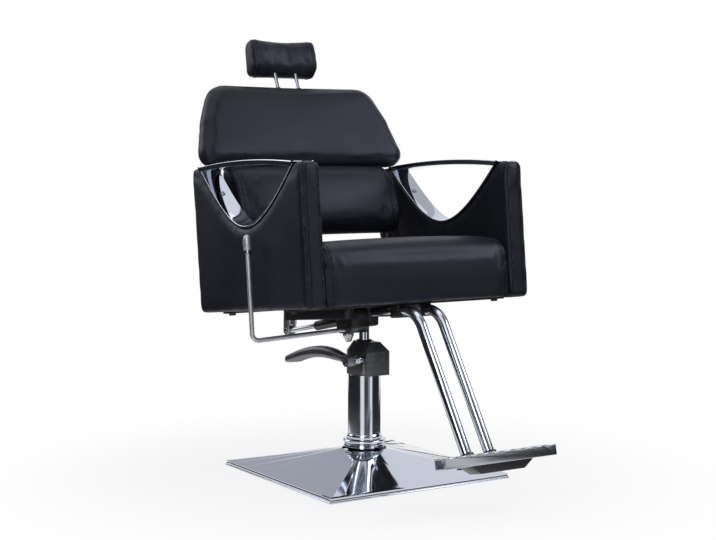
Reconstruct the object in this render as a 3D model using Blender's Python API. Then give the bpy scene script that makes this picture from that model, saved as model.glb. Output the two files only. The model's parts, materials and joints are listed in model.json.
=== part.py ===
"""Hairdressing chair: square base, hydraulic column, armed seat, reclining back, headrest.

The chair faces -Y, +X is the sitter's left, +Z is up, and the origin is where the column's
axis meets the floor. Sizes are in metres.
"""
import math

import bmesh
import bpy
from mathutils import Matrix, Vector

for old in list(bpy.data.objects):
    bpy.data.objects.remove(old, do_unlink=True)

# Fits
GAP = 0.0003            # between pieces that touch
RUN = 0.0006            # between pieces that turn or slide

# Base and hydraulic column
BASE_SIDE = 0.508
PLATE_T = 0.004
RIM_INSET = 0.002
RIM_H = 0.008
RIM_ROUND = 0.004
COVER_T = 0.0025
ROUND_NECK = 0.99       # how far the cover's corners are rounded at its neck, 1 being a circle
BASE_RISE = 0.048
BASE_SAG = 1.12         # exponent of the base's slightly hollow slope
COLUMN_D = 0.080
COLUMN_TOP = 0.245
COLUMN_WALL = 0.006
FOOT_FLARE = 0.003
COLLAR_D = 0.106
COLLAR_H = 0.025
COLLAR_LIP = 0.0025      # how far the collar's lip stands out over its ring
RAM_D = 0.026
RAM_FOOT_Z = 0.034
HEAD_H = 0.042
COVER_W = 0.066
COVER_FRONT = 0.062
COVER_SIDE_H = 0.058
COVER_CROWN_H = 0.022
COVER_CHAMFER = 0.016
COVER_WALL = 0.003

# Pump pedal
PEDAL_X = -0.072
PEDAL_Y = -0.045
PEDAL_RISE = 0.041      # axle above the column's top
PEDAL_HUB_D = 0.030
PEDAL_HUB_W = 0.022
PEDAL_REACH = 0.275
PEDAL_ARCH = 0.014
PEDAL_DROP = 0.026
PEDAL_NECK_W = 0.020
PEDAL_TIP_W = 0.044
PEDAL_TIP_ROUND = 0.006
PEDAL_T = 0.023
AXLE_D = 0.016

# Seat plane
SEAT_TILT = math.radians(5.74)
SEAT_Z = 0.409
SOCKET_DROP = 0.047     # foot of the ram's socket below the seat plane
SOCKET_PLATE_T = 0.006
RAM_SHORT = 0.012       # end of the ram below the seat frame
SOCKET_W = 0.054
SOCKET_PLATE = 0.130
FRAME_X = 0.110
RAIL_W = 0.025
RAIL_H = 0.026
RAIL_FRONT = -0.105
BAR_W = 0.040
BAR_T = 0.0035
BAR_Y = 0.150
BOARD_T = 0.012

# Arms
WIDTH = 0.620
ARM_THICK = 0.051
ARM_FRONT = -0.256
ARM_DEPTH = 0.530
ARM_REAR_LEAN = 0.010
ARM_FLOOR = 0.0045
ARM_FRONT_TOP = 0.3295
ARM_REAR_TOP = 0.364
ARM_TOP_RISE = 0.0132
ARM_ROUND = 0.006
ARM_LIP = 0.020         # least length of the arm's top ahead of and behind the opening
NOTCH_ROUND = 0.0012
OPEN_LOW = 0.201        # lowest point of the V-shaped opening
OPEN_Y = 0.012
OPEN_ROUND = 0.150
OPEN_SLOPE_REAR = 1.30
OPEN_SLOPE_FRONT = 1.013
TRIM_T = 0.005
TRIM_BAR_T = 0.012
TRIM_PROUD = 0.001
TRIM_EDGE = 0.0008
SCREW_D = 0.013
SCREW_Y = 0.171
SCREW_H = 0.004

# Seat cushion
CUSHION_FRONT = -0.252
CUSHION_REAR = 0.203
CUSHION_TOP = 0.151
CUSHION_CROWN = 0.006
CUSHION_ROLL = 0.046
SEAM_IN = 0.018
SEAM_DEEP = 0.0022

# Backrest, seen from its hinge
HINGE_Y = 0.248
HINGE_RISE = 0.015      # hinge above the seat plane
BACK_TILT = math.radians(23.0)
BACK_FACE = -0.1295     # front face of the upper pad, ahead of the hinge
PAD_LOW = 0.3155
PAD_H = 0.222
PAD_T = 0.058
PAD_LOW_HALF = 0.306
PAD_TOP_HALF = 0.242
PAD_TOP_ROUND = 0.062
PAD_LOW_ROUND = 0.036
PAD_HOLLOW = 0.012
PAD_CROWN = 0.006
PAD_CLEAR = 0.008       # level underside of the pad above the arms' rear ends
BACK_BOARD_T = 0.010
LUMBAR_H = 0.192
LUMBAR_DROP = 0.004
LUMBAR_BULGE = 0.010
LUMBAR_SIDE_GAP = 0.034
LUMBAR_FORWARD = 0.016
STRAP_T = 0.008
STRAP_W = 0.030
STRAP_INSET = 0.031
STRAP_BEND = 0.150
PLATE_HALF = 0.022      # half height of the back's cross plates
CROSS_TUBE_D = 0.024
PIN_D = 0.012
BRACKET_T = 0.008

# Headrest
POST_GAP = 0.062
POST_D = 0.010
POST_IN = 0.092
POST_OUT = 0.036
SLEEVE_D = 0.016
HEAD_HALF = 0.096
HEAD_TALL = 0.100
HEAD_DEEP = 0.066
HEAD_TIP = math.radians(15.0)
HEAD_HOLLOW = 0.010

# Recline lock and its lever
LOCK_X = -0.062
LOCK_SLOPE = math.radians(11.0)
YOKE_R = 0.095
RECLINE_MAX = math.radians(35.0)
LOCK_TUBE_D = 0.024
LOCK_TUBE_L = 0.150
LOCK_ROD_D = 0.012
LOCK_PIN_D = 0.010
LOCK_TUBE_AHEAD = 0.022 # front end of the clutch tube behind the lever's shaft
LOCK_GRIP = 0.030       # how far the rod stays in the clutch tube
EYE_WALL = 0.008
EYE_ROUND = 0.006
EYE_T = 0.012
YOKE_T = 0.005
LEVER_Y = -0.050
LEVER_DROP = 0.047      # lever's shaft below the seat plane
LEVER_SAG = 0.010
LEVER_X = -0.338
LEVER_D = 0.011
LEVER_RISE = 0.190
LEVER_BEND = 0.016
FERRULE_H = 0.008
KNOB_D = 0.022
KNOB_H = 0.036
HOUSING_W = 0.050
HOUSING_L = 0.070
HOUSING_H = 0.054
NUT_D = 0.027
NUT_H = 0.022
NUT_BACK = 0.026        # nut behind the lever's shaft

# Footrest
TUBE_D = 0.025
TUBE_GAP = 0.062
TUBE_REAR = -0.092
TUBE_BEND = 0.070
TUBE_LEAN = math.radians(32.7)
TUBE_CORNER = -0.268
CLAMP_Y = -0.200
CLAMP_L = 0.034
CLAMP_W = 0.096
TREAD_W = 0.302
TREAD_D = 0.040
TREAD_H = 0.024
TREAD_FRONT = -0.550
TREAD_Z = 0.120
TREAD_TIP = math.radians(12.5)
TREAD_GROOVES = 9
GROOVE_PITCH = 0.030
GROOVE_W = 0.005
GROOVE_DEEP = 0.002
WEB_H = 0.018
WEB_TOP_HALF = 0.084
WEB_LOW_HALF = 0.058
WEB_L = 0.046
BLOCK_HALF = 0.050      # block behind the tread that the tubes stand in
BLOCK_REAR = 0.102
BLOCK_LOW = -0.008
BLOCK_TOP = 0.016
SOCKET_L = 0.020
SOCKET_WALL = 0.004
TUBE_ABOVE = 0.004      # ends of the tubes above the tread's underside

# Places worked out from the sizes
PEDAL_Z = COLUMN_TOP + PEDAL_RISE
SOCKET_FOOT_Z = SEAT_Z - SOCKET_DROP
HINGE_Z = SEAT_Z + HINGE_RISE
LEVER_Z = SEAT_Z - LEVER_DROP
COVER_TOP_Z = PLATE_T + GAP + RIM_H + BASE_RISE
ARM_OUT = WIDTH / 2
ARM_IN = ARM_OUT - ARM_THICK
ARM_REAR = ARM_FRONT + ARM_DEPTH
BOARD_TOP = ARM_FLOOR + BOARD_T
FRAME_TOP = ARM_FLOOR - GAP
TUBE_LINE = FRAME_TOP - BAR_T - GAP - TUBE_D / 2
CUSHION_HALF = ARM_IN - GAP
LUMBAR_HALF = ARM_IN - LUMBAR_SIDE_GAP
STRAP_X = ARM_IN - STRAP_INSET
BACK_REAR = BACK_FACE + PAD_T
BOARD_REAR = BACK_REAR + GAP + BACK_BOARD_T
STRAP_FRONT = BOARD_REAR + GAP


# Modelling helpers
def as_object(bm):
    """A scratch object with the bmesh's solid, its faces turned outwards."""
    bmesh.ops.remove_doubles(bm, verts=bm.verts, dist=1e-6)
    bmesh.ops.recalc_face_normals(bm, faces=bm.faces)
    mesh = bpy.data.meshes.new("solid")
    bm.to_mesh(mesh)
    bm.free()
    ob = bpy.data.objects.new("solid", mesh)
    bpy.context.scene.collection.objects.link(ob)
    return ob


def loft(rings, closed=False):
    """Skin through rings of equal length, with a face over each end, or joined in a loop."""
    bm = bmesh.new()
    rows = [[bm.verts.new(point) for point in ring] for ring in rings]
    pairs = list(zip(rows, rows[1:]))
    if closed:
        pairs.append((rows[-1], rows[0]))
    else:
        bm.faces.new(rows[0])
        bm.faces.new(rows[-1])
    for low, high in pairs:
        for i in range(len(low)):
            j = (i + 1) % len(low)
            bm.faces.new((low[i], low[j], high[j], high[i]))
    return as_object(bm)


def prism_x(outline, x0, x1):
    """A (y, z) outline drawn out along X."""
    return loft([[(x, y, z) for y, z in outline] for x in (x0, x1)])


def prism_y(outline, y0, y1):
    """An (x, z) outline drawn out along Y."""
    return loft([[(x, y, z) for x, z in outline] for y in (y0, y1)])


def box(x0, x1, y0, y1, z0, z1):
    return prism_x([(y0, z0), (y1, z0), (y1, z1), (y0, z1)], x0, x1)


def rod(start, end, radius, segments=32, end_radius=None):
    """A cylinder or cone from one point to another."""
    start = Vector(start)
    end = Vector(end)
    bm = bmesh.new()
    bmesh.ops.create_cone(
        bm, cap_ends=True, segments=segments, radius1=radius,
        radius2=radius if end_radius is None else end_radius, depth=(end - start).length)
    turn = Vector((0, 0, 1)).rotation_difference(end - start).to_matrix().to_4x4()
    bm.transform(Matrix.Translation((start + end) / 2) @ turn)
    return as_object(bm)


def lathe(profile, segments=48):
    """A closed (radius, z) profile spun about Z."""
    bm = bmesh.new()
    verts = [bm.verts.new((r, 0, z)) for r, z in profile]
    edges = [bm.edges.new((verts[i - 1], verts[i])) for i in range(len(verts))]
    bmesh.ops.spin(
        bm, geom=verts + edges, axis=(0, 0, 1), cent=(0, 0, 0), dvec=(0, 0, 0),
        angle=2 * math.pi, steps=segments, use_merge=True)
    return as_object(bm)


def pipe(points, radius, resolution=6):
    """A round bar along a path, from a bevelled curve with filled ends."""
    curve = bpy.data.curves.new("path", "CURVE")
    curve.dimensions = "3D"
    curve.bevel_depth = radius
    curve.bevel_resolution = resolution
    curve.use_fill_caps = True
    spline = curve.splines.new("POLY")
    spline.points.add(len(points) - 1)
    for knot, point in zip(spline.points, points):
        knot.co = (*point, 1)
    ob = bpy.data.objects.new("path", curve)
    bpy.context.scene.collection.objects.link(ob)
    seen = ob.evaluated_get(bpy.context.evaluated_depsgraph_get())
    mesh = bpy.data.meshes.new_from_object(seen)
    bpy.data.objects.remove(ob)
    bm = bmesh.new()
    bm.from_mesh(mesh)
    bpy.data.meshes.remove(mesh)
    return as_object(bm)


def boolean(ob, tool, operation):
    """Join or cut one scratch solid with another, which is used up."""
    modifier = ob.modifiers.new("boolean", "BOOLEAN")
    modifier.operation = operation
    modifier.solver = "EXACT"
    modifier.object = tool
    seen = ob.evaluated_get(bpy.context.evaluated_depsgraph_get())
    mesh = bpy.data.meshes.new_from_object(seen)
    ob.modifiers.clear()
    old_mesh = ob.data
    ob.data = mesh
    bpy.data.meshes.remove(old_mesh)
    bpy.data.objects.remove(tool, do_unlink=True)
    return ob


def joined(first, *others):
    for other in others:
        boolean(first, other, "UNION")
    return first


def cut(ob, *tools):
    for tool in tools:
        boolean(ob, tool, "DIFFERENCE")
    return ob


def bevelled(ob, width, segments=2, angle=30.0):
    """The solid with its sharp edges rounded."""
    modifier = ob.modifiers.new("bevel", "BEVEL")
    modifier.width = width
    modifier.segments = segments
    modifier.limit_method = "ANGLE"
    modifier.angle_limit = math.radians(angle)
    seen = ob.evaluated_get(bpy.context.evaluated_depsgraph_get())
    mesh = bpy.data.meshes.new_from_object(seen)
    ob.modifiers.clear()
    ob.data = mesh
    return ob


def axis_empty(name, location, tilt=0.0, parent=None):
    """An empty on a joint's axis or on a sloping plane, which pieces are parented to."""
    ob = bpy.data.objects.new(name, None)
    bpy.context.scene.collection.objects.link(ob)
    ob.parent = parent
    ob.location = location
    ob.rotation_euler = (-tilt, 0, 0)
    return ob


def finish(name, colour, metallic, roughness):
    mat = bpy.data.materials.new(name)
    mat.use_nodes = True
    shader = mat.node_tree.nodes["Principled BSDF"]
    shader.inputs["Base Color"].default_value = (*colour, 1)
    shader.inputs["Metallic"].default_value = metallic
    shader.inputs["Roughness"].default_value = roughness
    mat.diffuse_color = (*colour, 1)
    return mat


FINISHES = {
    "chrome": ((0.80, 0.81, 0.83), 1.0, 0.08),
    "steel": ((0.55, 0.56, 0.58), 1.0, 0.30),
    "aluminium": ((0.74, 0.75, 0.76), 1.0, 0.35),
    "dark_metal": ((0.10, 0.10, 0.11), 0.9, 0.30),
    "black_steel": ((0.015, 0.015, 0.017), 0.3, 0.45),
    "black_plastic": ((0.012, 0.013, 0.014), 0.0, 0.35),
    "rubber": ((0.02, 0.02, 0.02), 0.0, 0.80),
    "leather": ((0.012, 0.013, 0.018), 0.0, 0.38),
    "board": ((0.030, 0.028, 0.026), 0.0, 0.85),
}


def piece(name, ob, look, parent, to_parent=None):
    """Name a scratch solid as one of the chair's pieces and hang it on its empty."""
    ob.name = name
    ob.data.name = name
    ob.data.materials.clear()
    ob.data.materials.append(finish(name, *FINISHES[look]))
    if to_parent is not None:
        ob.data.transform(to_parent)
    ob.parent = parent
    return ob


def arc(centre, radius, start, end, steps):
    """Points of an arc in a plane, angles in degrees."""
    turns = [math.radians(start + (end - start) * i / steps) for i in range(steps + 1)]
    return [(centre[0] + radius * math.cos(t), centre[1] + radius * math.sin(t)) for t in turns]


def filleted(corners, steps=4):
    """An outline from (u, v, radius) corners, each rounded by its radius."""
    outline = []
    for i, (u, v, radius) in enumerate(corners):
        here = Vector((u, v))
        if radius <= 0:
            outline.append((u, v))
            continue
        before = (Vector(corners[i - 1][:2]) - here).normalized()
        after = (Vector(corners[(i + 1) % len(corners)][:2]) - here).normalized()
        half = before.angle(after) / 2
        start = here + before * (radius / math.tan(half))
        end = here + after * (radius / math.tan(half))
        centre = here + (before + after).normalized() * (radius / math.sin(half))
        sweep = (start - centre).angle_signed(end - centre)
        for k in range(steps + 1):
            spoke = start - centre
            spoke.rotate(Matrix.Rotation(-sweep * k / steps, 2))
            outline.append(tuple(centre + spoke))
    return outline


def rounded_box(width, height, radius, steps):
    """A rectangle about the origin with round corners."""
    u = width / 2
    v = height / 2
    return filleted([(-u, -v, radius), (u, -v, radius), (u, v, radius), (-u, v, radius)], steps)


def inset(outline, depths):
    """An anticlockwise outline with each edge moved inwards by its own depth."""
    count = len(outline)
    if not hasattr(depths, "__len__"):
        depths = [depths] * count
    lines = []
    for i in range(count):
        a = Vector(outline[i])
        b = Vector(outline[(i + 1) % count])
        along = (b - a).normalized()
        inward = Vector((-along.y, along.x))
        lines.append((a + inward * depths[i], along))
    moved = []
    for i in range(count):
        p, d = lines[i - 1]
        q, e = lines[i]
        cross = d.x * e.y - d.y * e.x
        if abs(cross) < 1e-4:
            moved.append(tuple((q + p + d * (q - p).dot(d)) / 2))
            continue
        step = ((q - p).x * e.y - (q - p).y * e.x) / cross
        moved.append(tuple(p + d * step))
    return moved


def seat_to_world(y, z):
    """World (y, z) of a point given on the tilted seat plane."""
    return (y * math.cos(SEAT_TILT) + z * math.sin(SEAT_TILT),
            SEAT_Z - y * math.sin(SEAT_TILT) + z * math.cos(SEAT_TILT))


def world_to_seat(y, z):
    """Seat-plane (y, z) of a world point."""
    z -= SEAT_Z
    return (y * math.cos(SEAT_TILT) - z * math.sin(SEAT_TILT),
            y * math.sin(SEAT_TILT) + z * math.cos(SEAT_TILT))


def world_to_tread(y, z):
    """(y, z) of a world point on the tread's sloping underside."""
    y -= TREAD_FRONT
    z -= TREAD_Z
    return (y * math.cos(TREAD_TIP) - z * math.sin(TREAD_TIP),
            y * math.sin(TREAD_TIP) + z * math.cos(TREAD_TIP))


def turned(y, z, angle):
    """A (y, z) arm from a hinge after the back has leaned back by the angle."""
    return (y * math.cos(angle) + z * math.sin(angle),
            z * math.cos(angle) - y * math.sin(angle))


# Empties on the joints' axes and on the sloping planes
column_axis = axis_empty("column_axis", (0, 0, 0))
pedal_axis = axis_empty("pedal_axis", (0, PEDAL_Y, PEDAL_Z))
seat_plane = axis_empty("seat_plane", (0, 0, SEAT_Z), SEAT_TILT, column_axis)
recline_axis = axis_empty("recline_axis", (0, HINGE_Y, HINGE_Z), BACK_TILT, column_axis)
headrest_axis = axis_empty("headrest_axis", (0, 0, 0), 0.0, recline_axis)
tread_plane = axis_empty("tread_plane", (0, TREAD_FRONT, TREAD_Z), TREAD_TIP, column_axis)
lever_axis = axis_empty("lever_axis", (0, LEVER_Y, LEVER_Z), SEAT_TILT, column_axis)
YOKE_REST = turned(-math.sin(LOCK_SLOPE) * YOKE_R, -math.cos(LOCK_SLOPE) * YOKE_R, -RECLINE_MAX / 2)
YOKE_END = turned(*YOKE_REST, RECLINE_MAX)
YOKE_MID = turned(*YOKE_REST, RECLINE_MAX / 2)
lock_axis = axis_empty(
    "lock_axis", (LOCK_X, HINGE_Y + YOKE_REST[0], HINGE_Z + (YOKE_REST[1] + YOKE_MID[1]) / 2
                  + (YOKE_MID[0] - YOKE_REST[0]) / 2 * math.tan(LOCK_SLOPE)),
    LOCK_SLOPE, column_axis)
LOCK_TUBE_FRONT = LOCK_TUBE_AHEAD - (HINGE_Y + YOKE_REST[0] - LEVER_Y) / math.cos(LOCK_SLOPE)


def base_rings(levels):
    """Square rings of (half side, corner radius, height)."""
    rings = []
    for reach, corner, z in levels:
        rings.append([(x, y, z) for x, y in rounded_box(reach * 2, reach * 2, corner, 5)])
    return rings


def base_pieces():
    """Floor plate, pressed cover that goes from square to round, collar, tube and oil cylinder."""
    half = BASE_SIDE / 2
    plate = box(-half, half, -half, half, 0, PLATE_T)
    piece("floor_plate", bevelled(plate, PLATE_T / 4, 1), "black_steel", column_axis)

    outer = half - RIM_INSET
    inner = COLLAR_D / 2 + RIM_INSET
    low = PLATE_T + GAP
    steps = 6
    slope = []
    for i in range(steps + 1):
        u = i / steps
        reach = outer + (inner - outer) * u
        corner = RIM_ROUND + (inner * ROUND_NECK - RIM_ROUND) * u
        slope.append((reach, corner, low + RIM_H + BASE_RISE * u ** BASE_SAG))
    outside = [(outer, RIM_ROUND, low), (outer, RIM_ROUND, low + RIM_H * 0.75)]
    outside += [(outer - RIM_H * 0.25, RIM_ROUND, low + RIM_H)] + slope[1:]
    inside = [(outer - COVER_T, RIM_ROUND, low - RIM_H), (outer - COVER_T, RIM_ROUND, low + RIM_H - COVER_T)]
    for reach, corner, z in slope[1:]:
        reach -= COVER_T
        inside.append((reach, min(corner, reach * ROUND_NECK), z - COVER_T))
    radius = COLUMN_D / 2
    cover = cut(loft(base_rings(outside)), loft(base_rings(inside)))
    cut(cover, rod((0, 0, 0), (0, 0, COLUMN_TOP), radius + GAP, 44))
    piece("base_cover", cover, "chrome", column_axis)

    top = COVER_TOP_Z + GAP
    collar = COLLAR_D / 2
    bore = radius + FOOT_FLARE + GAP
    ring = collar - COLLAR_LIP
    groove = ring - COLLAR_LIP
    profile = [(bore, top), (ring - 0.003, top), (ring, top + COLLAR_H * 0.18),
               (ring, top + COLLAR_H * 0.42), (groove, top + COLLAR_H * 0.54),
               (groove, top + COLLAR_H * 0.58), (collar, top + COLLAR_H * 0.66),
               (collar, top + COLLAR_H - 0.003), (collar - 0.003, top + COLLAR_H), (bore, top + COLLAR_H)]
    piece("base_collar", lathe(profile, 44), "chrome", column_axis)

    flare = radius + FOOT_FLARE
    wall = radius - COLUMN_WALL
    flare_top = top + COLLAR_H + 0.012
    profile = [(wall, low), (radius, low), (radius, top - GAP), (radius, top), (flare, top),
               (flare, flare_top - 0.006), (radius, flare_top), (radius, COLUMN_TOP - 0.002),
               (radius - 0.002, COLUMN_TOP), (wall, COLUMN_TOP)]
    piece("pump_tube", lathe(profile, 44), "chrome", column_axis)

    jacket = wall - GAP
    bore = RAM_D / 2 + RUN
    profile = [(0, low), (jacket, low), (jacket, COLUMN_TOP), (bore, COLUMN_TOP),
               (bore, low + 0.006), (0, low + 0.006)]
    piece("pump_cylinder", lathe(profile, 28), "steel", column_axis)


def pump_outline(grow):
    """Plan of the pump cover: a box to the front and a round back about the column."""
    side = COVER_W / 2 + grow
    radius = COLUMN_D / 2 + 0.003 + grow
    join = math.sqrt(radius ** 2 - side ** 2)
    start = math.degrees(math.atan2(join, side))
    back = arc((0, 0), radius, start - 40, 220 - start, 16)
    front = [(-side, -join), (-side, -COVER_FRONT - grow), (side, -COVER_FRONT - grow), (side, -join)]
    return back + front


def pump_pieces():
    foot = COLUMN_TOP + GAP
    head_r = COLUMN_D / 2 - 0.003
    lug = COVER_W / 2 - COVER_WALL - GAP
    bore = RAM_D / 2 + RUN
    head = lathe([(bore, foot), (head_r, foot), (head_r, foot + HEAD_H), (bore, foot + HEAD_H)], 28)
    lug_front = COVER_FRONT - COVER_WALL - 0.003
    lug_low = PEDAL_Z - AXLE_D / 2 - 0.008
    lug_high = min(PEDAL_Z + AXLE_D / 2 + 0.006, foot + COVER_SIDE_H - 0.004)
    ring = RAM_D / 2 + 0.005
    flange = ring + 0.006
    block = box(-lug, lug, -lug_front, -flange - GAP, lug_low, lug_high)
    axle_bore = rod((-0.2, PEDAL_Y, PEDAL_Z), (0.2, PEDAL_Y, PEDAL_Z), AXLE_D / 2 + GAP)
    piece("pump_head", cut(joined(head, block), axle_bore), "dark_metal", column_axis)

    gland_low = foot + HEAD_H + GAP
    gland_top = foot + COVER_SIDE_H + COVER_CROWN_H + 0.003
    lip = gland_low + 0.006
    profile = [(bore, gland_low), (flange, gland_low), (flange, lip), (ring, lip),
               (ring, gland_top - 0.001), (ring - 0.001, gland_top), (bore, gland_top)]
    piece("ram_gland", lathe(profile, 28), "rubber", column_axis)

    side_top = foot + COVER_SIDE_H
    crown_top = side_top + COVER_CROWN_H
    outside = []
    for z, grow in ((foot, 0), (side_top, 0), (crown_top, -COVER_CHAMFER)):
        outside.append([(x, y, z) for x, y in pump_outline(grow)])
    inside = []
    shift = COVER_WALL
    for z, grow in ((foot - 0.01, 0), (side_top - shift * 0.4, 0), (crown_top - shift, -COVER_CHAMFER)):
        inside.append([(x, y, z) for x, y in pump_outline(grow - shift)])
    cover = cut(loft(outside), loft(inside))
    cover = cut(cover, rod((0, 0, crown_top - 0.02), (0, 0, crown_top + 0.02), ring + RUN, 28))
    slot = AXLE_D / 2 + 0.002
    slot_box = box(-COVER_W, 0, PEDAL_Y - slot, PEDAL_Y + slot, foot - 0.01, PEDAL_Z)
    slot_end = rod((-COVER_W, PEDAL_Y, PEDAL_Z), (0, PEDAL_Y, PEDAL_Z), slot, 24)
    piece("pump_cover", cut(cover, joined(slot_box, slot_end)), "black_plastic", column_axis)

    axle_in = lug - 0.001
    axle_out = PEDAL_X - PEDAL_HUB_W / 2 + 0.001
    axle = rod((axle_out, PEDAL_Y, PEDAL_Z), (axle_in, PEDAL_Y, PEDAL_Z), AXLE_D / 2, 24)
    piece("pedal_axle", axle, "chrome", column_axis)


def pedal_pieces():
    """The foot lever, arched over its length and spread to a paddle at the tip."""
    rings = []
    steps = 14
    for i in range(steps + 1):
        u = i / steps
        y = PEDAL_REACH * u
        z = PEDAL_ARCH * math.sin(math.pi * min(1.0, u * 1.05)) - PEDAL_DROP * u ** 2
        width = PEDAL_NECK_W + (PEDAL_TIP_W - PEDAL_NECK_W) * u ** 2
        thick = PEDAL_T * (0.9 + 0.2 * math.sin(math.pi * u) - 0.1 * u ** 4)
        if i == steps:
            width -= PEDAL_TIP_ROUND
            thick *= 0.8
        section = rounded_box(width, thick, thick * 0.3, 2)
        rings.append([(PEDAL_X + x, y, z + dz) for x, dz in section])
    hub = rod((PEDAL_X - PEDAL_HUB_W / 2, 0, 0), (PEDAL_X + PEDAL_HUB_W / 2, 0, 0), PEDAL_HUB_D / 2)
    bore = rod((PEDAL_X - 0.05, 0, 0), (PEDAL_X + 0.05, 0, 0), AXLE_D / 2 + RUN, 24)
    piece("pump_pedal", cut(joined(hub, loft(rings)), bore), "dark_metal", pedal_axis)


def lift_pieces():
    top = seat_to_world(0, FRAME_TOP - BAR_T)[1] - RAM_SHORT
    radius = RAM_D / 2
    profile = [(0, RAM_FOOT_Z), (radius - 0.002, RAM_FOOT_Z), (radius, RAM_FOOT_Z + 0.002),
               (radius, top - 0.003), (radius - 0.003, top), (0, top)]
    piece("lift_ram", lathe(profile, 28), "chrome", column_axis)

    half = SOCKET_W / 2
    under = FRAME_TOP - BAR_T - GAP
    plate_half = SOCKET_PLATE / 2
    plate = box(-plate_half, plate_half, -plate_half, plate_half, under - SOCKET_PLATE_T, under)
    plate.data.transform(Matrix.Translation((0, 0, SEAT_Z)) @ Matrix.Rotation(-SEAT_TILT, 4, "X"))
    block = []
    for z, reach in ((SOCKET_FOOT_Z, half - 0.004), (SOCKET_FOOT_Z + 0.004, half),
                     (SOCKET_FOOT_Z + 0.02, half), (SEAT_Z + under - 0.004, half + 0.006)):
        block.append([(x, y, z) for x, y in rounded_box(reach * 2, reach * 2, 0.006, 2)])
    bore = rod((0, 0, 0), (0, 0, top + GAP), radius + GAP, 28)
    piece("ram_socket", cut(joined(plate, loft(block)), bore), "black_steel", column_axis)


def seat_frame_pieces():
    """Two rails, two cross bars that carry the arms, and the plate over the ram socket."""
    bar_low = FRAME_TOP - BAR_T
    hinge = world_to_seat(HINGE_Y, HINGE_Z)
    bracket_x = STRAP_X + STRAP_T + RUN * 4
    rails = []
    for side in (-1, 1):
        x = side * FRAME_X
        rails.append(box(x - RAIL_W / 2, x + RAIL_W / 2, RAIL_FRONT, BAR_Y + BAR_W / 2 + 0.01,
                         bar_low - RAIL_H, FRAME_TOP - 0.001))
        ear = sorted((side * (STRAP_X - 0.012), side * (bracket_x + BRACKET_T + 0.006)))
        rails.append(box(*ear, BAR_Y, hinge[0] + 0.016, bar_low, FRAME_TOP))
    bars = []
    bolts = []
    reach = ARM_IN + ARM_THICK * 0.8
    for y in (-BAR_Y, BAR_Y):
        bars.append(box(-reach, reach, y - BAR_W / 2, y + BAR_W / 2, bar_low, FRAME_TOP))
        for x in (-ARM_IN - ARM_THICK / 2, ARM_IN + ARM_THICK / 2):
            bolts.append(rod((x, y, bar_low - 0.005), (x, y, bar_low + 0.002), 0.0085, 6))
    plate = box(-FRAME_X, FRAME_X, -BAR_Y, SOCKET_PLATE / 2 + 0.01, bar_low, FRAME_TOP)
    piece("seat_frame", joined(plate, *rails, *bars, *bolts), "black_steel", seat_plane)

    board = box(-CUSHION_HALF, CUSHION_HALF, CUSHION_FRONT + 0.012, CUSHION_REAR - 0.003,
                ARM_FLOOR, BOARD_TOP)
    piece("seat_board", board, "board", seat_plane)

    bolt_radius = PIN_D / 2 + GAP
    inner = bracket_x
    for side, word in ((-1, "right"), (1, "left")):
        outline = filleted([
            (CUSHION_REAR + 0.002, ARM_FLOOR, 0), (hinge[0] + 0.014, ARM_FLOOR, 0),
            (hinge[0] + 0.018, hinge[1] + 0.020, 0.016), (hinge[0] - 0.018, hinge[1] + 0.020, 0.016)], 5)
        edge = sorted((side * inner, side * (inner + BRACKET_T)))
        bracket = prism_x(outline, *edge)
        hole = rod((side * 0.1, *hinge), (side * 0.4, *hinge), bolt_radius, 24)
        piece(f"hinge_bracket_{word}", cut(bracket, hole), "black_steel", seat_plane)

        cap_in = inner + BRACKET_T + GAP
        pin = rod((side * (STRAP_X - 0.010), *hinge), (side * (cap_in + 0.004), *hinge), PIN_D / 2, 24)
        cap = rod((side * cap_in, *hinge), (side * (cap_in + 0.005), *hinge), PIN_D / 2 + 0.004, 24)
        piece(f"hinge_pin_{word}", joined(pin, cap), "steel", seat_plane)


def arm_top(y):
    """Height of the arm's gently arched top edge."""
    u = (y - ARM_FRONT) / ARM_DEPTH
    return ARM_FRONT_TOP + (ARM_REAR_TOP - ARM_FRONT_TOP) * u + ARM_TOP_RISE * 4 * u * (1 - u)


def open_edge(y):
    """Height of the lower edge of the arm's V-shaped opening."""
    slope = OPEN_SLOPE_REAR if y > OPEN_Y else OPEN_SLOPE_FRONT
    return OPEN_LOW + slope * (math.hypot(y - OPEN_Y, OPEN_ROUND) - OPEN_ROUND)


def opening_corner(start, end, drop):
    """Where the opening's edge meets the top edge, found by halving."""
    for _ in range(40):
        middle = (start + end) / 2
        if open_edge(middle) - drop < arm_top(middle):
            start = middle
        else:
            end = middle
    return start


def opening_curve(drop, steps=26):
    """The V from its rear corner down and up to its front corner."""
    rear = opening_corner(OPEN_Y, ARM_REAR - ARM_LIP, drop)
    front = opening_corner(OPEN_Y, ARM_FRONT + ARM_LIP, drop)
    points = []
    for i in range(steps + 1):
        y = rear + (front - rear) * i / steps
        points.append((y, open_edge(y) - drop))
    return points


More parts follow.
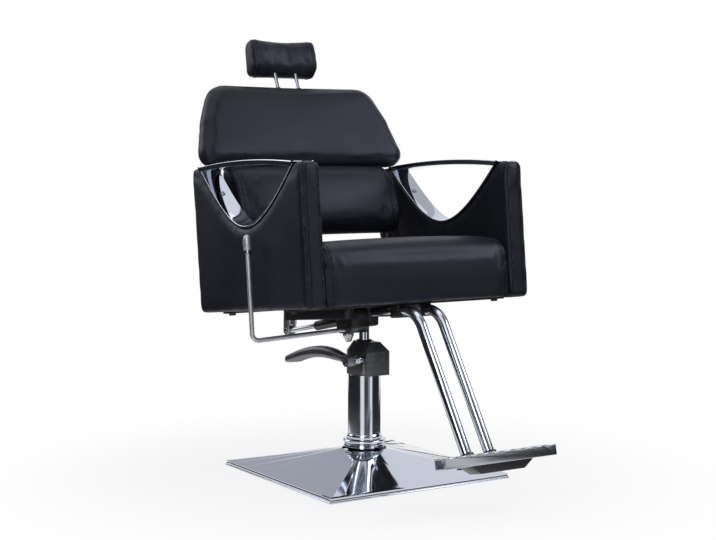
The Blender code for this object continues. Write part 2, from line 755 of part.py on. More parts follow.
def arm_pieces(side, word):
    """An upholstered side panel with a bright band that lines its opening and bridges its top."""
    notch = opening_curve(GAP * 1.5)
    corners = [(ARM_FRONT, ARM_FLOOR, 0.006), (ARM_REAR, ARM_FLOOR, 0.008),
               (ARM_REAR + ARM_REAR_LEAN, arm_top(ARM_REAR), 0.013)]
    corners += [(y, z, 0) for y, z in notch]
    corners.append((ARM_FRONT, arm_top(ARM_FRONT), 0.009))
    outline = filleted(corners, 3)
    at_notch = [min(math.dist(point, other) for other in notch) < 1e-6 for point in outline]
    rings = []
    for turn in (0, 30, 60, 90):
        sink = 1 - math.sin(math.radians(turn))
        rise = 1 - math.cos(math.radians(turn))
        depths = []
        for i in range(len(outline)):
            inside = at_notch[i] and at_notch[(i + 1) % len(outline)]
            depths.append(NOTCH_ROUND * sink if inside else ARM_ROUND * sink)
        rings.append((ARM_ROUND * rise, inset(outline, depths)))
    skins = [[(side * (ARM_IN + x), y, z) for y, z in ring] for x, ring in rings]
    skins += [[(side * (ARM_OUT - x), y, z) for y, z in ring] for x, ring in reversed(rings)]
    piece(f"arm_panel_{word}", loft(skins), "leather", seat_plane)

    vee = opening_curve(0)
    steps = 18
    rear, front = vee[0], vee[-1]
    top = []
    for i in range(1, steps):
        y = front[0] + (rear[0] - front[0]) * i / steps
        top.append((y, arm_top(y)))
    outline = (vee + top)[::-1]
    wall = [TRIM_BAR_T] * len(outline)
    for i in range(steps - 1, len(outline) - 1):
        wall[i] = TRIM_T
    core = inset(outline, wall)
    soft_out = inset(outline, TRIM_EDGE)
    soft_in = inset(core, -TRIM_EDGE)
    near = ARM_IN - TRIM_PROUD
    far = ARM_OUT + TRIM_PROUD
    layers = ((near, soft_out), (near + TRIM_EDGE, outline), (far - TRIM_EDGE, outline), (far, soft_out),
              (far, soft_in), (far - TRIM_EDGE, core), (near + TRIM_EDGE, core), (near, soft_in))
    band = loft([[(side * x, y, z) for y, z in ring] for x, ring in layers], closed=True)
    piece(f"arm_trim_{word}", band, "chrome", seat_plane)

    slope = (open_edge(SCREW_Y + 0.001) - open_edge(SCREW_Y - 0.001)) / 0.002
    normal = Vector((0, -slope, 1)).normalized()
    seat = Vector((side * (ARM_IN + ARM_OUT) / 2, SCREW_Y, open_edge(SCREW_Y))) + normal * (TRIM_T + GAP)
    head = rod(seat, seat + normal * SCREW_H, SCREW_D / 2, 20, SCREW_D * 0.32)
    mouth = rod(seat + normal * SCREW_H * 0.55, seat + normal * SCREW_H * 2, SCREW_D * 0.17, 6)
    piece(f"trim_screw_{word}", cut(head, mouth), "steel", seat_plane)


def cushion_stations(half, end_round, seams, inner_steps):
    """(x, sink) stations across a cushion: round ends, a channel at each seam, even steps between."""
    ends = []
    for turn in (0, 25, 50, 90):
        x = end_round - end_round * math.cos(math.radians(turn))
        ends.append((x - half, end_round * (1 - math.sin(math.radians(turn)))))
    marks = []
    for seam in seams:
        marks += [(-seam - 0.004, 0), (-seam, SEAM_DEEP), (-seam + 0.004, 0)]
    first = marks[-1][0] if marks else ends[-1][0]
    middle = [(first * (1 - 2 * i / inner_steps), 0) for i in range(1, inner_steps)]
    mirror = [(-x, sink) for x, sink in reversed(ends + marks)]
    return ends + marks + middle + mirror


def cushion(half, end_round, seams, inner_steps, section):
    """A pad whose (y, z) section may change along its width."""
    rings = []
    for x, sink in cushion_stations(half, end_round, seams, inner_steps):
        outline = inset(section(x / half), sink) if sink else section(x / half)
        rings.append([(x, y, z) for y, z in outline])
    return loft(rings)


def seat_section(u):
    """Seat cushion from front to rear: full front, rolled edge, crowned top, tucked foot."""
    floor = BOARD_TOP + GAP
    crown = CUSHION_TOP + CUSHION_CROWN * (1 - u * u)
    roll = CUSHION_ROLL
    outline = [(CUSHION_REAR - 0.010, floor), (CUSHION_REAR - 0.002, floor + 0.010),
               (CUSHION_REAR, (floor + crown) / 2)]
    outline += arc((CUSHION_REAR - 0.026, crown - 0.030), 0.026, 0, 90, 4)
    middle = (CUSHION_FRONT + CUSHION_REAR) / 2
    reach = CUSHION_REAR - CUSHION_FRONT
    for step in (0.32, 0.16, 0.0, -0.16):
        y = middle + reach * step
        outline.append((y, crown - 0.004 + 0.004 * math.cos(math.pi * step)))
    outline += arc((CUSHION_FRONT + roll + 0.002, crown - roll - 0.001), roll, 90, 176, 7)
    low = crown - roll
    outline += [(CUSHION_FRONT, floor + (low - floor) * 0.55), (CUSHION_FRONT + 0.003, floor + 0.016),
                (CUSHION_FRONT + 0.012, floor)]
    return outline


def upper_pad_outline(grow):
    """Half-width trapezoid of the upper pad with big top corners, anticlockwise from in front."""
    low = PAD_LOW
    high = PAD_LOW + PAD_H
    belly = PAD_LOW + PAD_H * 0.55
    belly_half = PAD_LOW_HALF + (PAD_TOP_HALF - PAD_LOW_HALF) * 0.44
    right = filleted([(0, low, 0), (PAD_LOW_HALF + 0.004, low, PAD_LOW_ROUND), (belly_half, belly, 0.2),
                      (PAD_TOP_HALF - 0.006, high, PAD_TOP_ROUND), (0, high, 0)], 6)
    left = [(-x, z) for x, z in reversed(right) if x > 1e-6]
    return inset(right + left, -grow) if grow else right + left


def back_pad(outline):
    """The upper pad: flat rear, drawn-in sides, a rolled lip and a hollow, slightly crowned face."""
    middle = PAD_LOW + PAD_H / 2
    floor = seat_to_world(ARM_REAR, arm_top(ARM_REAR))[1] + PAD_CLEAR - HINGE_Z

    def face(x, z, lift):
        hollow = PAD_HOLLOW * (1 - (x / PAD_LOW_HALF) ** 2)
        return BACK_FACE + max(hollow, 0) + lift

    def above_arms(x, y, z):
        return (x, y, max(z, (floor + y * math.sin(BACK_TILT)) / math.cos(BACK_TILT)))

    rings = []
    rear = BACK_REAR
    for sink, y in ((0.020, rear), (0.010, rear - 0.003), (0.004, rear - 0.010), (0.001, rear - 0.022)):
        rings.append([above_arms(x, y, z) for x, z in inset(outline, sink)])
    for sink, lift in ((0, 0.024), (0.0035, 0.0125), (0.012, 0.0045), (0.024, 0.0008)):
        ring = inset(outline, sink) if sink else outline
        rings.append([above_arms(x, face(x, z, lift), z) for x, z in ring])
    rim = inset(outline, 0.024)
    for scale in (0.78, 0.52, 0.26, 0.05):
        ring = []
        for x, z in rim:
            px = x * scale
            pz = middle + (z - middle) * scale
            ring.append((px, face(px, pz, -PAD_CROWN * (1 - scale ** 2)), pz))
        rings.append(ring)
    return loft(rings)


def lumbar_section(u):
    """Lumbar pad: bulged front, drawn-in top and foot, flat rear."""
    rear = BACK_REAR
    high = PAD_LOW - LUMBAR_DROP
    low = high - LUMBAR_H
    bulge = BACK_FACE + 0.006 - LUMBAR_FORWARD - LUMBAR_BULGE * (1 - u ** 4)
    outline = [(rear, low + 0.024), (rear, high - 0.020)]
    outline += arc((rear - 0.014, high - 0.014), 0.014, 30, 90, 2)
    steps = 12
    for i in range(steps + 1):
        t = i / steps
        z = high - LUMBAR_H * t
        ease = (2 * t - 1) ** 4
        front = bulge + 0.034 * ease + 0.004 * abs(2 * t - 1)
        outline.append((front, z + (0.004 if i == steps else 0)))
    outline.append((rear - 0.014, low + 0.006))
    return outline


def back_pieces():
    """Frame, boards, pads, and the guides that the headrest's posts slide in."""
    outline = upper_pad_outline(0)
    pad = back_pad(outline)
    post_y = BACK_FACE + PAD_HOLLOW + (PAD_T - PAD_HOLLOW) / 2
    top = PAD_LOW + PAD_H
    foot = top - POST_IN
    hole_r = SLEEVE_D / 2 + GAP
    for side in (-1, 1):
        x = side * POST_GAP / 2
        cut(pad, rod((x, post_y, foot - 0.005), (x, post_y, top + 0.05), hole_r, 24))
    piece("upper_back_pad", pad, "leather", recline_axis)

    board = [(x, z) for x, z in inset(outline, 0.026)]
    plate = prism_y(board, BACK_REAR + GAP, BOARD_REAR)
    piece("upper_back_board", plate, "board", recline_axis)

    seams = (LUMBAR_HALF - SEAM_IN,)
    lumbar = cushion(LUMBAR_HALF, 0.012, seams, 8, lumbar_section)
    piece("lumbar_pad", lumbar, "leather", recline_axis)
    high = PAD_LOW - LUMBAR_DROP - 0.024
    low = PAD_LOW - LUMBAR_DROP - LUMBAR_H + 0.026
    half = LUMBAR_HALF - 0.016
    piece("lumbar_board", box(-half, half, BACK_REAR + GAP, BOARD_REAR, low, high), "board", recline_axis)

    back_frame()

    for side, word in ((-1, "right"), (1, "left")):
        x = side * POST_GAP / 2
        bore = POST_D / 2 + RUN
        guide = lathe([(0, foot - 0.0045), (SLEEVE_D / 2, foot - 0.0045), (SLEEVE_D / 2, top - 0.001),
                       (bore, top - 0.001), (bore, foot - 0.001), (0, foot - 0.001)], 18)
        guide.data.transform(Matrix.Translation((x, post_y, 0)))
        piece(f"post_guide_{word}", guide, "black_plastic", recline_axis)


def back_frame():
    """Side straps that bend from upright to the back's slope, cross plates and the hinge tube."""
    rear = STRAP_FRONT + STRAP_W
    start = PAD_LOW - LUMBAR_H + 0.012
    plate_places = (PAD_LOW - LUMBAR_H * 0.52, PAD_LOW + PAD_H * 0.42)
    top = plate_places[1] + PLATE_HALF
    half = STRAP_W / 2
    upright = Vector(turned(0, 1, -BACK_TILT))
    across = Vector((upright.y, -upright.x))
    knee = upright * STRAP_BEND
    eye = []
    for k in range(9):
        turn = math.radians(180 * k / 8)
        eye.append(-across * half * math.cos(turn) - upright * half * math.sin(turn))
    outline = [tuple(point) for point in eye]
    outline += [tuple(across * half + knee * 0.86), (rear, start - 0.006), (rear, top), (STRAP_FRONT, top),
                (STRAP_FRONT, start + 0.006), tuple(-across * half + knee * 0.98)]
    straps = []
    for side in (-1, 1):
        edge = sorted((side * STRAP_X, side * (STRAP_X + STRAP_T)))
        straps.append(prism_x(outline, *edge))
    plates = []
    reach = STRAP_X + STRAP_T * 0.5
    for z in plate_places:
        plates.append(box(-reach, reach, STRAP_FRONT, STRAP_FRONT + 0.006, z - PLATE_HALF, z + PLATE_HALF))
    tube = rod((-reach, 0, 0), (reach, 0, 0), CROSS_TUBE_D / 2, 32)
    frame = joined(tube, *straps, *plates)
    for side in (-1, 1):
        ends = ((side * (STRAP_X - 0.0103), 0, 0), (side * 0.4, 0, 0))
        cut(frame, rod(*ends, PIN_D / 2 + GAP, 24))
    piece("back_frame", frame, "black_steel", recline_axis)


def headrest_section(u):
    """Headrest from below: flat rear, rolled lower lip, leaning face that is hollow along X."""
    deep = HEAD_DEEP / 2
    tall = HEAD_TALL / 2
    hollow = HEAD_HOLLOW * (1 - u * u)
    crown = tall - 0.4 * hollow
    outline = filleted([
        (deep, -tall + 0.006, 0.016), (deep, crown - 0.004, 0.020), (-deep + 0.014 + hollow, crown, 0.016),
        (-deep + 0.004 + hollow, 0.012, 0.03), (-deep + hollow * 0.6, -tall * 0.50, 0.014),
        (-0.004, -tall, 0.012)], 3)
    return outline


def headrest_pieces():
    post_y = BACK_FACE + PAD_HOLLOW + (PAD_T - PAD_HOLLOW) / 2
    top = PAD_LOW + PAD_H
    centre = top + POST_OUT + HEAD_TALL / 2
    place = Matrix.Translation((0, post_y, centre)) @ Matrix.Rotation(HEAD_TIP, 4, "X")
    pad = cushion(HEAD_HALF, 0.012, (), 8, headrest_section)
    pad.data.transform(place)
    reach = centre - 0.004
    for side in (-1, 1):
        x = side * POST_GAP / 2
        cut(pad, rod((x, post_y, top), (x, post_y, reach + GAP), POST_D / 2 + GAP, 20))
    piece("headrest_pad", pad, "leather", headrest_axis)
    for side, word in ((-1, "right"), (1, "left")):
        x = side * POST_GAP / 2
        r = POST_D / 2
        foot = top - POST_IN
        post = lathe([(0, foot), (r - 0.0015, foot), (r, foot + 0.0015), (r, reach - 0.0015),
                      (r - 0.0015, reach), (0, reach)], 20)
        post.data.transform(Matrix.Translation((x, post_y, 0)))
        piece(f"headrest_post_{word}", post, "chrome", headrest_axis)


def lock_pieces():
    """The recline lock: a rod that slides in a clutch tube, pinned to the yoke below the hinge."""
    turn_back = Matrix.Rotation(BACK_TILT, 4, "X")
    pin_y, pin_z = YOKE_REST
    fork = max(EYE_T, LOCK_ROD_D) / 2 + RUN * 2
    bore = CROSS_TUBE_D / 2 + GAP
    ring = bore + 0.007
    along = Vector((pin_y, pin_z)).normalized()
    across = Vector((-along.y, along.x))
    tip = Vector(YOKE_REST)
    outline = []
    for k in range(9):
        t = math.radians(180 * k / 8)
        outline.append(tuple(across * ring * math.cos(t) - along * ring * math.sin(t)))
    for k in range(9):
        t = math.radians(180 * k / 8)
        outline.append(tuple(tip - across * 0.011 * math.cos(t) + along * 0.011 * math.sin(t)))
    cheeks = []
    for x in (LOCK_X - fork - YOKE_T, LOCK_X + fork):
        cheeks.append(prism_x(outline, x, x + YOKE_T))
    bridge = rod((LOCK_X - fork - 0.001, 0, 0), (LOCK_X + fork + 0.001, 0, 0), ring - 0.001, 32)
    yoke = joined(bridge, *cheeks)
    cut(yoke, rod((LOCK_X - 0.1, 0, 0), (LOCK_X + 0.1, 0, 0), bore, 32))
    cut(yoke, rod((LOCK_X - 0.1, *tip), (LOCK_X + 0.1, *tip), LOCK_PIN_D / 2 + GAP, 24))
    piece("recline_yoke", yoke, "steel", recline_axis, turn_back)
    reach = fork + YOKE_T + 0.003
    pin = rod((LOCK_X - reach, *tip), (LOCK_X + reach, *tip), LOCK_PIN_D / 2, 24)
    cap_in = LOCK_X + fork + YOKE_T + GAP
    cap = rod((cap_in, *tip), (LOCK_X + reach + 0.002, *tip), LOCK_PIN_D / 2 + 0.003, 24)
    piece("yoke_pin", joined(pin, cap), "steel", recline_axis, turn_back)

    travel = math.dist(YOKE_REST, YOKE_END)
    sag = math.dist(YOKE_MID, ((YOKE_REST[0] + YOKE_END[0]) / 2, (YOKE_REST[1] + YOKE_END[1]) / 2))
    eye_r = LOCK_PIN_D / 2 + RUN
    slot_w = 2 * eye_r
    slot_h = slot_w + sag
    outside = rounded_box(slot_w + 2 * EYE_WALL, slot_h + 2 * EYE_WALL, EYE_ROUND, 3)
    plate = prism_x(outside, -EYE_T / 2, EYE_T / 2)
    slot = rounded_box(slot_w, slot_h, eye_r * 0.98, 4)
    tube_rear = LOCK_TUBE_FRONT + LOCK_TUBE_L
    rod_front = tube_rear - LOCK_GRIP
    shaft = rod((0, rod_front, 0), (0, -eye_r - 0.004, 0), LOCK_ROD_D / 2, 24)
    lock_rod = cut(joined(plate, shaft), prism_x(slot, -0.05, 0.05))
    piece("lock_rod", lock_rod, "steel", lock_axis)

    r = LOCK_TUBE_D / 2
    bore = LOCK_ROD_D / 2 + RUN
    stop = rod_front - travel - 0.004
    tube = rod((0, LOCK_TUBE_FRONT, 0), (0, tube_rear, 0), r, 32)
    nose = rod((0, tube_rear - 0.001, 0), (0, tube_rear + 0.008, 0), r * 0.8, 32, r * 0.62)
    bore_end = max(stop, LOCK_TUBE_FRONT + 0.006)
    tube = cut(joined(tube, nose), rod((0, bore_end, 0), (0, tube_rear + 0.1, 0), bore, 24))
    piece("lock_tube", tube, "black_steel", lock_axis)


def lock_housing():
    """The box under the seat that holds the clutch tube and the lever's shaft, and the nut below it."""
    housing_top = FRAME_TOP - BAR_T - 0.0065 - GAP * 2
    rear = LEVER_Y + HOUSING_L * 0.62
    front = LEVER_Y - HOUSING_L * 0.38
    bolt_y, bolt_z = world_to_seat(LEVER_Y, LEVER_Z)
    low = housing_top - HOUSING_H
    outline = filleted([(front, low + 0.012, 0.008), (front + 0.014, low, 0.004), (rear - 0.010, low, 0.006),
                        (rear, low + 0.014, 0.004), (rear, housing_top, 0), (front, housing_top, 0)], 3)
    housing = prism_x(outline, LOCK_X - HOUSING_W / 2, LOCK_X + HOUSING_W / 2)
    slide = seat_plane.matrix_world.inverted() @ lock_axis.matrix_world
    socket = rod((0, LOCK_TUBE_FRONT - GAP, 0), (0, 0, 0), LOCK_TUBE_D / 2 + GAP, 32)
    socket.data.transform(slide)
    cut(housing, socket)
    lever = rod((-0.3, bolt_y, bolt_z), (0.3, bolt_y, bolt_z), LEVER_D / 2 + RUN, 24)
    piece("lock_housing", cut(housing, lever), "black_steel", seat_plane)
    r = NUT_D / 2
    nut = lathe([(0, low - NUT_H), (r * 0.40, low - NUT_H), (r * 0.50, low - NUT_H * 0.92),
                 (r * 0.86, low - NUT_H * 0.42), (r, low - NUT_H * 0.30), (r, low - GAP), (0, low - GAP)], 24)
    nut.data.transform(Matrix.Translation((LOCK_X, bolt_y + NUT_BACK, 0)))
    piece("tension_nut", nut, "chrome", seat_plane)


def lever_pieces():
    """A cranked hand lever: a cross shaft under the seat and an upright with a ferrule and knob."""
    shaft_end = LOCK_X + HOUSING_W / 2 + 0.006
    bend = LEVER_BEND
    knee = LOCK_X - HOUSING_W / 2 - 0.012
    path = [(shaft_end, 0, 0), (knee, 0, 0)]
    path += [(x, 0, z) for x, z in arc((LEVER_X + bend, bend - LEVER_SAG), bend, 268, 180, 6)]
    path.append((LEVER_X, 0, LEVER_RISE))
    piece("lever_rod", pipe(path, LEVER_D / 2, 5), "dark_metal", lever_axis)
    top = LEVER_RISE + GAP
    r = KNOB_D / 2
    foot = top + FERRULE_H
    ferrule = lathe([(0, top), (r * 0.62, top), (r * 0.72, top + 0.002), (r * 0.72, foot), (0, foot)], 24)
    ferrule.data.transform(Matrix.Translation((LEVER_X, 0, 0)))
    piece("lever_ferrule", ferrule, "chrome", lever_axis)
    foot += GAP
    dome = [(r * math.cos(math.radians(t)), foot + KNOB_H - 0.012 + 0.012 * math.sin(math.radians(t)))
            for t in (0, 25, 50, 72)]
    knob = lathe([(0, foot), (r * 0.72, foot), (r * 0.82, foot + 0.004), (r * 0.94, foot + KNOB_H * 0.4)]
                 + dome + [(0, foot + KNOB_H)], 24)
    knob.data.transform(Matrix.Translation((LEVER_X, 0, 0)))
    piece("lever_knob", knob, "dark_metal", lever_axis)


def tube_path():
    """(y, z) path of a footrest tube: along the seat plane, round its bend, down to the tread."""
    start = Vector(seat_to_world(TUBE_REAR, TUBE_LINE))
    corner = Vector(seat_to_world(TUBE_CORNER, TUBE_LINE))
    down = Vector((-math.sin(TUBE_LEAN), -math.cos(TUBE_LEAN)))
    above = world_to_tread(*corner)[1]
    drop = above - world_to_tread(*(corner + down))[1]
    end = corner + down * ((above - TUBE_ABOVE) / drop)
    back = (start - corner).normalized()
    half = back.angle(down) / 2
    first = corner + back * (TUBE_BEND / math.tan(half))
    last = corner + down * (TUBE_BEND / math.tan(half))
    centre = corner + (back + down).normalized() * (TUBE_BEND / math.sin(half))
    sweep = (first - centre).angle_signed(last - centre)
    path = [start]
    steps = 10
    for k in range(steps + 1):
        spoke = first - centre
        spoke.rotate(Matrix.Rotation(-sweep * k / steps, 2))
        path.append(centre + spoke)
    path.append(end)
    return path


def footrest_pieces():
    """Two bent tubes, the casting that they stand in, the grooved tread and the tubes' clamp."""
    path = tube_path()
    end = Vector(world_to_tread(*path[-1]))
    up = (Vector(world_to_tread(*path[-2])) - end).normalized()
    sockets = []
    bores = []
    for side, word in ((-1, "right"), (1, "left")):
        x = side * TUBE_GAP / 2
        tube = pipe([(x, p.x, p.y) for p in path], TUBE_D / 2)
        piece(f"footrest_tube_{word}", tube, "chrome", column_axis)
        low = end - up * (WEB_H * 0.4)
        high = end + up * SOCKET_L
        sockets.append(rod((x, *low), (x, *high), TUBE_D / 2 + SOCKET_WALL, 32))
        bores.append(rod((x, *(end - up * GAP)), (x, *(high + up)), TUBE_D / 2 + GAP, 32))
    outline = [(-WEB_LOW_HALF, -GAP - WEB_H), (WEB_LOW_HALF, -GAP - WEB_H),
               (WEB_TOP_HALF, -GAP), (-WEB_TOP_HALF, -GAP)]
    web = prism_y(outline, 0.002, WEB_L)
    block = box(-BLOCK_HALF, BLOCK_HALF, TREAD_D + GAP, BLOCK_REAR, BLOCK_LOW, BLOCK_TOP)
    web = cut(joined(web, block, *sockets), *bores)
    piece("footrest_casting", web, "aluminium", tread_plane)

    half = TREAD_W / 2
    tread = bevelled(box(-half, half, 0, TREAD_D, 0, TREAD_H), 0.0015, 2)
    for i in range(TREAD_GROOVES):
        x = (i - (TREAD_GROOVES - 1) / 2) * GROOVE_PITCH
        cut(tread, box(x - GROOVE_W / 2, x + GROOVE_W / 2, -0.01, TREAD_D + 0.01,
                       TREAD_H - GROOVE_DEEP, TREAD_H + 0.01))
    piece("footrest_tread", tread, "aluminium", tread_plane)

    clamp = box(-CLAMP_W / 2, CLAMP_W / 2, CLAMP_Y - CLAMP_L / 2, CLAMP_Y + CLAMP_L / 2,
                TUBE_LINE - TUBE_D / 2 - 0.003, FRAME_TOP)
    clamp = bevelled(clamp, 0.003, 2)
    for side in (-1, 1):
        x = side * TUBE_GAP / 2
        ends = ((x, CLAMP_Y - 0.1, TUBE_LINE), (x, CLAMP_Y + 0.1, TUBE_LINE))
        cut(clamp, rod(*ends, TUBE_D / 2 + GAP, 32))
    piece("footrest_clamp", clamp, "black_steel", seat_plane)


def main():
    bpy.context.view_layer.update()
    base_pieces()
    pump_pieces()
    pedal_pieces()
    lift_pieces()
    seat_frame_pieces()
    for side, word in ((-1, "right"), (1, "left")):
        arm_pieces(side, word)
    seams = (CUSHION_HALF - SEAM_IN,)
    piece("seat_cushion", cushion(CUSHION_HALF, 0.012, seams, 8, seat_section), "leather", seat_plane)
    back_pieces()
    headrest_pieces()
    lock_pieces()
    lock_housing()
    lever_pieces()
    footrest_pieces()
    bpy.context.view_layer.update()


main()
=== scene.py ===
"""Looks of the hairdressing chair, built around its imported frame.

Sizes and colours are in property groups, each piece or group of like pieces has an operator, and
the stage has one of its own. The chair faces -Y, +Z is up, and sizes are in metres.
"""
import json
import math

import bmesh
import bpy
import numpy as np
from bpy.props import FloatProperty, FloatVectorProperty, IntProperty, PointerProperty
from bpy.types import Operator, Panel, PropertyGroup
from mathutils import Matrix, Vector

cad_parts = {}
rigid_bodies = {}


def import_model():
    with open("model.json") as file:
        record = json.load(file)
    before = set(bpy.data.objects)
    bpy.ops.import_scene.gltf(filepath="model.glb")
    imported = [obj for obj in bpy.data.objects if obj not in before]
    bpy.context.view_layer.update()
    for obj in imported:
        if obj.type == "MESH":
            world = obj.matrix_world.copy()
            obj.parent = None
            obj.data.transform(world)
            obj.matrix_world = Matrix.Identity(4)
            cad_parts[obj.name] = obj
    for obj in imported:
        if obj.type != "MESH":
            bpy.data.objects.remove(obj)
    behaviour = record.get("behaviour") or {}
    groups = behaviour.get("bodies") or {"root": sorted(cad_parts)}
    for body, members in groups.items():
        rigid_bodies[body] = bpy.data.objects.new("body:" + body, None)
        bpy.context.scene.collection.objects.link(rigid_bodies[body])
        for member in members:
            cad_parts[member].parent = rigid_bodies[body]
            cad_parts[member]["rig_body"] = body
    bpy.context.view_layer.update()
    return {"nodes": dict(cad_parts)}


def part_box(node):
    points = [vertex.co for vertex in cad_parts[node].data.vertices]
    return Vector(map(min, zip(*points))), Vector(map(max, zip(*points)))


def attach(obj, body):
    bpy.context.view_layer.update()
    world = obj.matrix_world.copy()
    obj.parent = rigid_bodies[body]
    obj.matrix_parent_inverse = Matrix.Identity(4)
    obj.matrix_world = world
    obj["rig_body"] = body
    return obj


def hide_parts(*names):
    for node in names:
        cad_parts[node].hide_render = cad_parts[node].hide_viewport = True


bl_info = {
    "name": "Hairdressing chair",
    "version": (1, 0, 0),
    "blender": (4, 5, 0),
    "location": "View3D > Sidebar > Chair",
    "description": "Builds the looks of a hairdressing chair around its frame",
    "category": "Object",
}

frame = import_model()
SIDES = ((-1, "right"), (1, "left"))
ACROSS = (1, 0, 0)

# Modelling
SAME_POINT = 1e-6       # vertices this near are one
SAME_CORNER = 1e-5      # the same for a node's loose triangles
FLAT_ANGLE = 0.6        # degrees within which triangles are one face
SMOOTH_ANGLE = 35.0     # degrees up to which edges are shaded smooth

# Upholstery
SMOOTH_BEFORE, SMOOTH_AFTER = 2, 4      # passes over a pad before and after it is blown up
SEAM_CUTS = range(-3, 4)                # cuts along a seam, in its half widths
SEAM_PROFILE = ((0, -1.0), (-1, -0.25), (1, -0.25), (-2, 0.30), (2, 0.30))  # (cut, share of depth)
SEAM_REACH = 0.12       # how near a cut a vertex is on it, in half widths
STITCH_CUT = 2          # the cut that stitches follow
STITCH_REACH = 0.48     # how near that cut they keep, in half widths
STITCH_SHARE = 0.86     # a stitch's share of the pitch
FEWEST_STITCHES = 4
SEAM_HELD = 0.003       # half width of the strip that a seam holds down
BOARD_HELD = 0.012      # how far from its board or band a pad is held
SEAT_SEAM = 0.020       # from the cushion's end to its stitched seam
SEAT_BORDER = 0.011     # from there to the plain seam
SEAT_SEAM_HELD = 0.0035
SEAT_HELD = 0.030       # how high the cushion's side is held at its front
SEAT_SLOPE = 0.1        # and how much less further back
LIP_SHORT = 0.004       # how much shorter the cover's lip is at each end
ARM_SEAMS = (("outer", -0.0135, 1), ("outer", -0.0065, -1), ("inner", 0.0080, 1))  # (face, shift, row)
ARM_SEAM_LONG = 0.100   # from the arm's front to where its seams end
UPPER_SEAM = 0.020      # from the upper board to the pad's seam
UPPER_DROP = 0.005      # how far the upper pad's foot is let down
LUMBAR_SEAMS = (0.013, 0.025)           # from the lumbar pad's end to its seams
LUMBAR_WIDER = 0.012    # how far the lumbar pad's ends are let out
HEAD_SEAM = 0.013       # from the headrest's end to its seam
HEAD_DROP = 0.004       # how far the headrest's foot is let down
POST = 0.010            # diameter of the headrest's posts

# Metal pieces, with profiles as (in from the rim, up or down) or (radius, height)
COLLAR_FOOT = ((0.0065, 0.0), (0.0035, 0.003), (0.0025, 0.007), (0.0035, 0.0110), (0.0060, 0.0135),
               (0.0060, 0.0145), (0.0015, 0.0155), (0.0, 0.0175))
COLLAR_TOP = ((0.0, 0.0035), (0.0015, 0.001), (0.003, 0.0))
COLLAR_PLAY = 0.0003    # between the collar and the column's flare
COLUMN_WALL = 0.006
PALM = 0.05             # how far from its axle the pedal's palm starts
PALM_SWELL = 0.0016     # how much fuller the palm is forged
SPACER_SUNK = 0.001     # how far the pedal's spacer goes into the pump's cover
TREAD_WALL, TREAD_DEEP = 0.0016, 0.016  # wall and depth of the tread's hollow ends
KNOB_PROFILE = ((0.0, 0.0), (0.0086, 0.0), (0.0097, 0.0014), (0.0097, 0.0040), (0.0089, 0.0050),
                (0.0102, 0.0066), (0.0106, 0.0120), (0.0104, 0.0190), (0.0097, 0.0250), (0.0082, 0.0302),
                (0.0057, 0.0338), (0.0028, 0.0356), (0.0, 0.0360))

# Stage: lamps as (name, place, size), shades as (colour, glow)
AIM = (0, 0, 0.5)
FLOOR_SIDE, FLOOR_Z, APRON_Z = 30.0, -0.0005, -0.0003
FLOOR_FADE, FLOOR_SHARE = (0.35, 1.1), 0.82     # where the floor turns into backdrop, and its share before
LAMPS = (
    ("key", (2.27, -1.96, 2.5), (1.6, 1.6)),
    ("fill", (-2.4, -2.2, 1.9), (1.0, 1.8)),
    ("top", (0.2, 0.6, 3.0), (2.4, 2.4)),
    ("side", (-1.75, 2.68, 1.9), (1.6, 1.6)),
)
BLACK = (0.0, 0.0, 0.0)
# The shades show only in reflections: dark walls and glowing cards and canopies that paint reflections, dark
# and light, into the chrome and the leatherette.
SHADES = {
    "dark_wall": ((0.02, 0.02, 0.022), (0.012, 0.012, 0.014)),
    "grey_wall": ((0.12, 0.12, 0.13), None),
    "pale_card": (BLACK, (0.82, 0.84, 0.90)),
    "soft_card": (BLACK, (0.45, 0.465, 0.50)),
    "dark_canopy": (BLACK, (0.14, 0.145, 0.16)),
    "grey_canopy": (BLACK, (0.54, 0.55, 0.58)),
    "brown_apron": (BLACK, (0.12, 0.09, 0.075)),
}
WALL_STEPS = 16
ROOM = ((5.2, 0), (5.2, 3.4), (3.8, 3.4))       # (radius, height) of a wall beyond its near edge
CANOPY = ((3.8, 3.4), (2.4, 4.6), (1.0, 5.2))
CARD = ((4.9, 1.2), (4.9, 3.4), (4.9, 5.6))
WALLS = (
    ("stage_wall_left", "dark_wall", (-145, -26), ((0.95, 0), *ROOM)),
    ("stage_wall_middle", "grey_wall", (0, 40), ((0.9, 0), *ROOM)),
    ("stage_wall_right", "dark_wall", (58, 128), ((0.75, 0), *ROOM)),
    ("stage_floor_back", "dark_wall", (128, 215), ((0.62, 0), (1.1, 0), (1.7, 0))),
    ("stage_canopy", "dark_canopy", (20, 104), CANOPY),
    ("stage_canopy_back", "grey_canopy", (104, 176), CANOPY),
    ("stage_card_right", "pale_card", (128, 180), CARD),
    ("stage_card_left", "soft_card", (180, 232), CARD),
)
APRON = (0.268, 0.288)  # half sides of the frame on the floor, which paints a dark reflection into the base's rim
